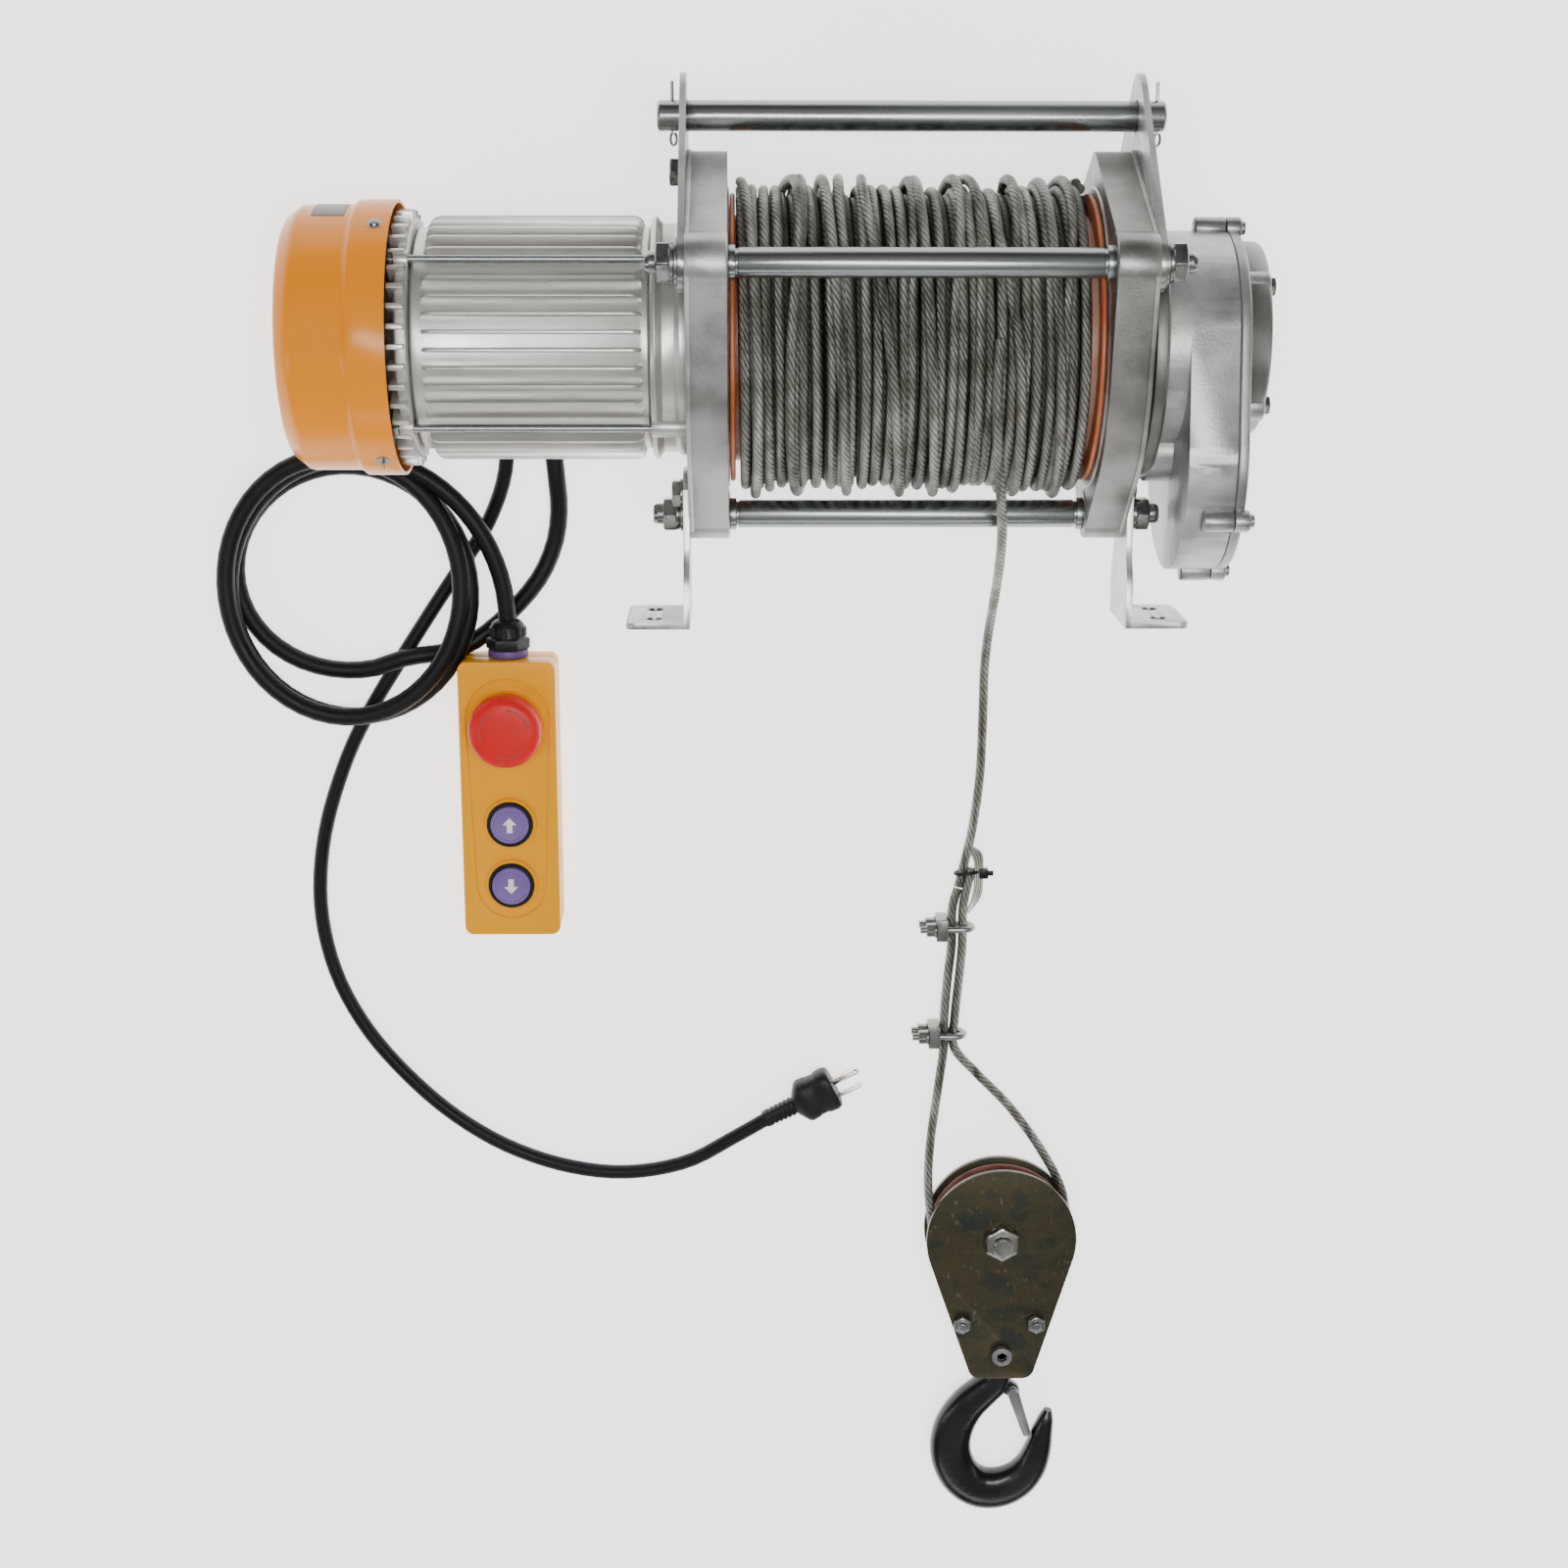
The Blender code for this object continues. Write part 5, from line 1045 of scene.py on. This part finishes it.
def wound(turns, base, sway, seed, loops=()):
    """Points of the rope wound from one flange to the other, with turns that sway sideways and bulge.

    Angle 0 is towards the suspension bar and a quarter turn is the front. A loop is its turn, how far it
    stands off the drum, its width in turns and how far it leans sideways.
    """
    half = 0.1064 - ROPE_D / 2
    steps = 60
    points = []
    for i in range(int(turns * steps) + 1):
        turn = i / steps
        angle = 2 * math.pi * turn
        x = -half + 2 * half * turn / turns
        slow = noise.noise(Vector((turn * 0.45, seed, 0.0)))
        quick = noise.noise(Vector((turn * 2.1, seed + 7.0, 3.0)))
        x += sway * (slow + 0.55 * quick)
        top = max(0.0, math.cos(angle)) ** 8
        low = max(0.0, -math.cos(angle)) ** 8
        radius = base + 0.0016 * noise.noise(Vector((turn * 1.3, seed, 4.0)))
        radius += 0.0034 * top * max(0.0, 0.4 + noise.noise(Vector((round(turn) * 1.7, seed, 9.0))))
        radius += 0.005 * low * max(0.0, 0.4 + noise.noise(Vector((math.floor(turn) * 2.3, seed, 20.0))))
        for at, rise, width, sideways in loops:
            offset = turn - at
            if abs(offset) < 0.5:
                radius += rise * math.exp(-(offset / width) ** 2)
                x += sideways * math.exp(-((offset - width * 0.6) / (width * 1.4)) ** 2)
        x = max(-half, min(half, x))
        # The winding stays low where the fall leaves it, so that it passes under the fall as it turns.
        radius = min(radius, 0.087 if abs(x - FALL_ROUTE[0][0]) < 0.01 else 0.0952)
        points.append(Vector((x, radius * math.cos(angle), AXIS_Z + radius * math.sin(angle))))
    return points


def make_winding():
    over = ((4.0, 0.007, 0.1, 0.008), (9.0, 0.006, 0.09, -0.006), (14.0, 0.006, 0.09, 0.005),
            (17.0, 0.007, 0.09, 0.008), (22.0, 0.007, 0.09, 0.007), (26.0, 0.007, 0.1, 0.009))
    across = ((1.0, 0.007, 0.12, 0.013), (3.0, 0.007, 0.1, -0.009), (5.0, 0.007, 0.11, 0.012),
              (6.0, 0.007, 0.11, -0.01))
    # The inner layer wears the rope finish painted darker, as painted shade under the outer layers.
    for name, points, sides, finish, replaces in (
            ("inner", wound(33, 0.0818, 0.0008, 3.0), 10, ROPE_PAINTED_SHADE, ("rope_winding",)),
            ("outer", wound(29, 0.0872, 0.0042, 11.0, over), 12, ROPE, ()),
            ("crossing", wound(8, 0.0922, 0.014, 31.0, across), 12, ROPE, ())):
        piece(f"rope_layer_{name}", tube_mesh(points, ROPE_D / 2, sides, ROPE_LAY), finish, "drum_body",
              replaces=replaces, angle=80)


def make_clips():
    bend = 0.0064
    for name, live, dead, y, z in (("upper", 0.043, 0.0505, -0.412, 0.0114),
                                   ("lower", 0.0385, 0.046, -0.49, 0.0142)):
        legs = [(live - 0.0225 + k * 0.004, -bend) for k in range(7)]
        legs += [(dead + bend * math.sin(math.pi * k / 12), -bend * math.cos(math.pi * k / 12))
                 for k in range(13)]
        legs += [(live - 0.0225 + k * 0.004, bend) for k in range(6, -1, -1)]
        route = smooth_route([(x, y, z + dz) for x, dz in legs], 0.0012)
        piece(f"clip_{name}_u_bolt", tube_mesh(route, 0.0025, 16), ZINC, "block_body",
              replaces=(f"rope_clip_{name}",))
        rings = []
        for dz in (-bend, bend):
            for k in range(6):
                at = live - 0.0222 + 0.0012 * k
                ridge = ((at, 0.0024), (at + 0.0004, 0.0028), (at + 0.0008, 0.0024))
                rings.append(turned("X", (y, z + dz), ridge, 20))
        piece(f"clip_{name}_threads", merge(*rings), THREAD, "block_body")
        saddle = box((live - 0.0112, y - 0.008, z - 0.0098), (live - 0.003, y + 0.008, z + 0.0098))
        cradle = cylinder("Y", (z, live), y - 0.02, y + 0.02, 0.0034, 32)
        piece(f"clip_{name}_saddle", saddle, BOLT, "block_body", bevel=0.0014, segments=3, cut=[cradle])
        nut = ((live - 0.0182, 0.004), (live - 0.0178, 0.0043, 6), (live - 0.0126, 0.0043, 6),
               (live - 0.0124, 0.0054), (live - 0.0113, 0.0054))
        for end, dz in (("back", -bend), ("front", bend)):
            piece(f"clip_{name}_nut_{end}", turned("X", (y, z + dz), nut, 36), BOLT, "block_body",
                  bevel=0.0003)


def make_cable_tie():
    """A narrow strap round the rope and its tucked end, with its lock and the cut tail."""
    at = Vector((0.0533, -0.373, 0.0076))
    strands = []
    for k in range(4):
        out = 0.0014 * k
        tail = [(0.056, -0.359 + out, 0.009), (0.0585 + out, -0.364 + out, 0.0095),
                (0.059 + out, -0.376, 0.011), (0.0575 + out, -0.389, 0.014), (0.053, -0.4, 0.0165)]
        strands.append(tube_mesh(smooth_route(tail, 0.003), 0.001, 8, ROPE_LAY))
    piece("tucked_rope_end", merge(*strands), AXLE, "block_body", angle=60)
    loop = []
    for k in range(24):
        turn = 2 * math.pi * k / 23
        loop.append((at.x + 0.0084 * math.cos(turn), at.y + 0.001 * math.cos(turn),
                     at.z + 0.0052 * math.sin(turn)))
    strip = tube_mesh(smooth_route(loop, 0.001), 0.0012, 10)
    lock = box((at.x + 0.0082, at.y - 0.0034, 0.008), (at.x + 0.0142, at.y + 0.0034, 0.0138))
    tongue = box((at.x + 0.0138, at.y - 0.0018, 0.0105), (at.x + 0.018, at.y + 0.0018, 0.0118))
    piece("cable_tie", merge(strip, lock, tongue), BLACK, "block_body", bevel=0.0004)


# ---------------------------------------------------------------- hook block

BLOCK = (SHEAVE_AT.x, SHEAVE_AT.y)
BLOCK_Z = SHEAVE_AT.z
TIP_X = BLOCK[0] + 0.002
CROSSHEAD_AT = (TIP_X, -0.729)
LATCH_AT = (0.093, -0.764)


def make_block():
    outline = band(((*BLOCK, 0.0535), (TIP_X - 0.015, -0.739, 0.009), (TIP_X + 0.015, -0.739, 0.009)))
    for side, low in (("back", BLOCK_Z - 0.0145), ("front", BLOCK_Z + 0.0105)):
        holes = [circle(BLOCK, 0.0083, 32), circle(CROSSHEAD_AT, 0.0064, 28)]
        piece(f"block_{side}_sheet", prism("Z", low, low + 0.004, outline, holes), CHROMATE, "block_body",
              bevel=0.0007, segments=3, replaces=(f"block_plate_{side}",))
    top = BLOCK_Z + 0.0145
    spacers, screws = [], []
    nut = ((top, 0.0058), (top + 0.0006, 0.006, 6), (top + 0.0042, 0.006, 6), (top + 0.0048, 0.0052),
           (top + 0.0048, 0.0032), (top + 0.0066, 0.0032), (top + 0.0072, 0.0024))
    for at in ((0.054, -0.704), (0.107, -0.704)):
        spacers.append(cylinder("Z", at, BLOCK_Z - 0.0107, BLOCK_Z + 0.0107, 0.005, 28))
        screws += [turned("Z", at, nut, 36), hexagon("Z", at, 0.0012, 0.0054, 0.006, 36)]
    piece("block_small_spacers", merge(*spacers), THREAD, "block_body")
    piece("block_small_bolts", merge(*screws), BOLT, "block_body", bevel=0.0003)
    head = turned("Z", CROSSHEAD_AT, ((BLOCK_Z + 0.009, 0.0058), (top, 0.0058), (top, 0.0073),
                                      (top + 0.004, 0.0073), (top + 0.0048, 0.0065)), 40)
    socket = hexagon("Z", CROSSHEAD_AT, top + 0.0015, top + 0.01, 0.0033, 36)
    piece("block_socket_screw", head, THREAD, "block_body", bevel=0.0002, cut=[socket])
    axle = ((0.0002, 0.0105), (0.0006, 0.01125, 6), (0.005, 0.01125, 6), (0.0052, 0.008),
            (top + GAP, 0.008), (top + GAP, 0.0118), (top + 0.0012, 0.0118), (top + 0.0014, 0.01125, 6),
            (top + 0.0068, 0.01125, 6), (top + 0.0074, 0.01), (top + 0.0074, 0.0069),
            (top + 0.0108, 0.0069), (top + 0.0115, 0.006))
    piece("block_axle_turned", turned("Z", BLOCK, axle, 60), AXLE, "block_body", bevel=0.0004,
          replaces=("sheave_axle",))
    half = ((0.009, 0.0083), (0.009, 0.016), (0.006, 0.018), (0.006, 0.036), (0.009, 0.038), (0.009, 0.049),
            (0.0082, 0.05), (0.007, 0.05), (0.0052, 0.0475), (0.004, 0.045), (0.0025, 0.044), (0.0, 0.0436))
    profile = [(BLOCK_Z + z, r) for z, r in half] + [(BLOCK_Z - z, r) for z, r in reversed(half[:-1])]
    piece("sheave_turned", turned("Z", BLOCK, profile, 112, ring=True), MAROON, "sheave_body",
          bevel=0.0004, replaces=("sheave",))
    keep("hook_crosshead", DARK_CAST)


def make_hook():
    x = TIP_X
    shape = (
        (x, -0.7015, 0.008, 0.008), (x, -0.703, 0.0098, 0.0098), (x, -0.7157, 0.0098, 0.0098),
        (x, -0.7158, 0.0078, 0.0078), (x, -0.7423, 0.0078, 0.0078), (x, -0.7424, 0.0096, 0.0096),
        (x, -0.75, 0.0098, 0.0098), (0.0795, -0.758, 0.0108, 0.0098), (0.071, -0.766, 0.012, 0.01),
        (0.0605, -0.7765, 0.0132, 0.0104), (0.052, -0.791, 0.0144, 0.0107), (0.0485, -0.807, 0.015, 0.011),
        (0.051, -0.823, 0.0152, 0.011), (0.059, -0.8365, 0.0154, 0.011), (0.0715, -0.844, 0.0155, 0.011),
        (0.086, -0.844, 0.015, 0.0108), (0.099, -0.8375, 0.0136, 0.0105), (0.108, -0.8265, 0.0118, 0.01),
        (0.113, -0.813, 0.01, 0.0092), (0.116, -0.799, 0.0078, 0.008), (0.1185, -0.788, 0.0055, 0.0062),
        (0.12, -0.781, 0.0028, 0.0034),
    )
    shank = sweep([(px, py, BLOCK_Z, w, h) for px, py, w, h in shape[:7]], 36)
    piece("hook_shank", shank, FORGED, "hook_body", bevel=0.0004)
    knots = shape[5:]
    sections = []
    for i in range(len(knots) - 1):
        near = [Vector(knots[max(0, min(len(knots) - 1, i + j))]) for j in (-1, 0, 1, 2)]
        for k in range(6):
            at = curve_point(*near, k / 6)
            sections.append((at[0], at[1], BLOCK_Z, at[2], at[3]))
    sections.append((*knots[-1][:2], BLOCK_Z, *knots[-1][2:]))
    piece("hook_forged", sweep(sections, 40, 0.82), FORGED, "hook_body", replaces=("hook",))
    outline = band(((*LATCH_AT, 0.005), (0.08, -0.756, 0.006)), 48)
    ear = prism("Z", BLOCK_Z - 0.003, BLOCK_Z + 0.003, outline, [circle(LATCH_AT, 0.0023, 20)])
    piece("hook_latch_ear", ear, FORGED, "hook_body", bevel=0.0006)
    rivet = turned("Z", LATCH_AT, ((BLOCK_Z - 0.006, 0.003), (BLOCK_Z - 0.005, 0.0038),
                                   (BLOCK_Z - 0.0049, 0.0021), (BLOCK_Z + 0.0049, 0.0021),
                                   (BLOCK_Z + 0.005, 0.0038), (BLOCK_Z + 0.006, 0.003)), 28)
    piece("latch_rivet", rivet, ZINC, "latch_body")
    arm = prism("Z", BLOCK_Z - 0.0048, BLOCK_Z + 0.0048,
                band(((*LATCH_AT, 0.0042), (0.104, -0.7975, 0.003)), 64))
    slot = cylinder("Z", LATCH_AT, BLOCK_Z - 0.0036, BLOCK_Z + 0.0036, 0.008, 40)
    piece("latch_folded_sheet", arm, SHEET, "latch_body", bevel=0.0009, segments=3,
          replaces=("hook_latch",), cut=[slot])


# ---------------------------------------------------------------- pendant

PENDANT_AT = middle("pendant_back")
PX, PY = PENDANT_AT.x, PENDANT_AT.y
STOP_AT, UP_AT, DOWN_AT = (middle(node) for node in ("stop_button", "up_button", "down_button"))
PENDANT_TOP = 0.04
# The gland's axis, as (z, x) for shapes turned about Y.
GLAND_AT = (0.02, PX)


def pendant_outline(inset, radius, steps=48):
    half_x, half_y = 0.0325 - inset - radius, 0.095 - inset - radius
    return band([(PX + a * half_x, PY + b * half_y, radius) for a in (-1, 1) for b in (-1, 1)], steps)


def arrow(centre, size, way):
    """A plain arrow head on a short stem."""
    x, y = centre
    points = ((0, 1), (0.9, 0.05), (0.36, 0.05), (0.36, -1), (-0.36, -1), (-0.36, 0.05), (-0.9, 0.05))
    return [(x + a * size, y + way * b * size) for a, b in points]


def make_pendant():
    outer, inner = pendant_outline(0.0, 0.006), pendant_outline(0.0025, 0.004)
    hollow = prism("Z", 0.01, 0.0375, inner)
    recess = prism("Z", PENDANT_TOP - 0.0014, PENDANT_TOP + 0.01,
                   band(((PX, STOP_AT.y + 0.004, 0.028), (PX, DOWN_AT.y, 0.0235))))
    openings = [cylinder("Z", (PX, y), 0.01, 0.06, r, 48)
                for y, r in ((STOP_AT.y, 0.0115), (UP_AT.y, 0.0134), (DOWN_AT.y, 0.0134))]
    piece("pendant_front_shell", prism("Z", 0.02015, PENDANT_TOP, outer), PENDANT_YELLOW,
          bevel=0.0016, segments=4, replaces=("pendant_front",), cut=[hollow, recess, merge(*openings)])
    piece("pendant_back_shell", prism("Z", 0.0, 0.01985, outer), PENDANT_YELLOW,
          bevel=0.0018, segments=4, replaces=("pendant_back",), cut=[prism("Z", 0.0025, 0.03, inner)])
    rim = ((0.0384, 0.0136), (0.0384, 0.018), (0.0402, 0.0178), (0.041, 0.0168), (0.041, 0.0158),
           (0.0404, 0.0136))
    seat = ((0.0386, 0.0133), (0.0386, 0.0157), (0.042, 0.0156), (0.0426, 0.0148), (0.0426, 0.0137),
            (0.04, 0.0133))
    rings, seats = [], []
    for y in (UP_AT.y, DOWN_AT.y):
        rings.append(turned("Z", (PX, y), rim, 72, ring=True))
        seats.append(turned("Z", (PX, y), seat, 72, ring=True))
    piece("pendant_button_rims", merge(*rings), PENDANT_YELLOW)
    piece("pendant_button_seats", merge(*seats), BLACK)
    stop_collar = turned("Z", (PX, STOP_AT.y), ((0.0384, 0.0116), (0.0384, 0.024), (0.04, 0.0238),
                                                (0.0415, 0.0225), (0.0415, 0.0116)), 72, ring=True)
    piece("pendant_stop_collar", stop_collar, PENDANT_YELLOW)
    seals = turned("Z", (PX, STOP_AT.y), ((0.0416, 0.0114), (0.0416, 0.019), (0.0432, 0.0185),
                                          (0.0432, 0.0114)), 64, ring=True)
    piece("pendant_stop_seal", seals, BLACK)
    cap = ((0.027, 0.005), (0.035, 0.005), (0.035, 0.0144), (0.037, 0.0144), (0.037, 0.013),
           (0.0436, 0.013), (0.0445, 0.0121), (0.0445, 0.0108), (0.0441, 0.0104), (0.0441, 0.0))
    for name, at, way in (("up", UP_AT, 1), ("down", DOWN_AT, -1)):
        piece(f"{name}_cap", turned("Z", (PX, at.y), cap, 64), LAVENDER, f"{name}_button_body",
              bevel=0.0002, replaces=(f"{name}_button",))
        mark = prism("Z", 0.0438, 0.0443, arrow((PX, at.y), 0.0052, way))
        piece(f"{name}_arrow", mark, WHITE, f"{name}_button_body")
    make_stop()
    top = PY + 0.0953
    neck = turned("Y", GLAND_AT, ((top, 0.011), (top + 0.0002, 0.0135), (top + 0.005, 0.0135),
                                  (top + 0.0056, 0.011)), 48)
    piece("pendant_gland_neck", neck, PURPLE, bevel=0.0003)
    nut = turned("Y", GLAND_AT, ((top + 0.0054, 0.0118), (top + 0.006, 0.0128, 6),
                                 (top + 0.0125, 0.0128, 6), (top + 0.0135, 0.0122), (top + 0.0145, 0.012),
                                 (top + 0.02, 0.0118), (top + 0.023, 0.0104), (top + 0.0248, 0.0082),
                                 (top + 0.0252, 0.0066)), 60)
    ribs = []
    for k in range(16):
        at = on_circle(GLAND_AT, 0.0118, 2 * math.pi * k / 16)
        ribs.append(cylinder("Y", at, top + 0.0142, top + 0.0202, 0.0009, 10))
    piece("pendant_gland_nut", merge(nut, *ribs), BLACK, bevel=0.0002,
          replaces=("pendant_gland",))


def make_stop():
    """The mushroom button, with plain turning arrows engraved round its face."""
    profile = ((0.029, 0.0128), (0.037, 0.0128), (0.037, 0.011), (0.049, 0.011), (0.049, 0.0232),
               (0.05, 0.0243), (0.0515, 0.0245), (0.0585, 0.0243), (0.0615, 0.0236), (0.0638, 0.0218),
               (0.065, 0.019), (0.0656, 0.014), (0.0659, 0.008), (0.066, 0.0))
    piece("stop_mushroom", turned("Z", (PX, STOP_AT.y), profile, 112), RED, "stop_button_body",
          bevel=0.0003, replaces=("stop_button",), angle=45)
    marks = []
    for start in (20, 140, 260):
        stem = [(0.0158, start + 8 * k) for k in range(9)]
        stem += [(0.0168, start + 8 * k) for k in range(8, -1, -1)]
        head = [(0.0163, start - 9), (0.0143, start), (0.0183, start)]
        for outline in (stem, head):
            points = [on_circle((PX, STOP_AT.y), reach, math.radians(angle)) for reach, angle in outline]
            marks.append(prism("Z", 0.064, 0.06565, points))
    piece("stop_engraved_arrows", merge(*marks), RED_DARK, "stop_button_body")


def keep(node, material):
    """A CAD node stays as it is, with this material on its slots."""
    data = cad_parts[node].data
    for k in range(len(data.materials)):
        data.materials[k] = material
    if not data.materials:
        data.materials.append(material)


make_plates()
make_rods()
make_straps()
make_feet()
make_motor()
make_terminal_box()
make_gearbox()
make_drum()
make_winding()
make_clips()
make_cable_tie()
make_block()
make_hook()
make_pendant()
for node, material in (("stator_core", COPPER), ("rotor_shaft", ROD), ("brake_fan", BLACK),
                       ("drum_gear", DARK_STEEL), ("countershaft", DARK_STEEL),
                       ("intermediate_gear", DARK_STEEL)):
    keep(node, material)


# ---------------------------------------------------------------- studio

# The floor's half width, its height just under the pieces that lie on it, and how bright it shines.
FLOOR_REACH, FLOOR_Z, FLOOR_GLOW = 40, -0.0004, 1.9
# What every light points at.
AIM = (0.15, -0.3, 0.05)


def make_floor():
    material, tree, shader = nodes_of("studio_paper")
    tint = ramp(tree, noise_node(tree, 3.0), ((0.4, (0.95, 0.95, 0.95)), (0.6, (0.97, 0.97, 0.97))))
    tree.links.new(tint, shader.inputs["Base Color"])
    tree.links.new(tint, shader.inputs["Emission Color"])
    for name, value in (("Emission Strength", FLOOR_GLOW), ("Roughness", 0.9), ("Specular IOR Level", 0.1)):
        shader.inputs[name].default_value = value
    mesh = bmesh.new()
    corners = ((-1, -1), (1, -1), (1, 1), (-1, 1))
    mesh.faces.new([mesh.verts.new((FLOOR_REACH * a, FLOOR_REACH * b, FLOOR_Z)) for a, b in corners])
    floor = object_of("studio_floor", mesh)
    floor.data.materials.append(material)


def area_light(name, place_at, size, power):
    data = bpy.data.lights.new(name, "AREA")
    data.shape = "RECTANGLE"
    data.size, data.size_y = size
    data.energy = power
    light = bpy.data.objects.new(name, data)
    light.location = place_at
    light.rotation_euler = (Vector(AIM) - Vector(place_at)).to_track_quat("-Z", "Y").to_euler()
    bpy.context.scene.collection.objects.link(light)


def make_studio():
    make_floor()
    world = bpy.data.worlds.new("studio")
    world.use_nodes = True
    tree = world.node_tree
    where = tree.nodes.new("ShaderNodeTexCoord")
    split = tree.nodes.new("ShaderNodeSeparateXYZ")
    tree.links.new(where.outputs["Generated"], split.inputs["Vector"])
    height = to_range(tree, split.outputs["Z"], 0.0, 1.0, -1.0, 1.0)
    sky = ramp(tree, height, ((0.46, (0.6, 0.6, 0.6)), (0.56, (0.3, 0.3, 0.3)), (0.72, (0.07, 0.07, 0.07)),
                              (0.94, (0.5, 0.5, 0.5))))
    tree.links.new(sky, tree.nodes["Background"].inputs["Color"])
    tree.nodes["Background"].inputs["Strength"].default_value = 1.0
    bpy.context.scene.world = world
    area_light("key_front", (0.25, 0.0, 2.3), (1.5, 0.45), 33)
    area_light("fill_left", (-1.9, -0.6, 1.4), (0.4, 1.6), 8)
    area_light("fill_right", (2.2, -0.6, 1.2), (0.4, 1.6), 4)
    area_light("low_front", (0.15, -2.2, 1.2), (2.2, 0.4), 10)


make_studio()
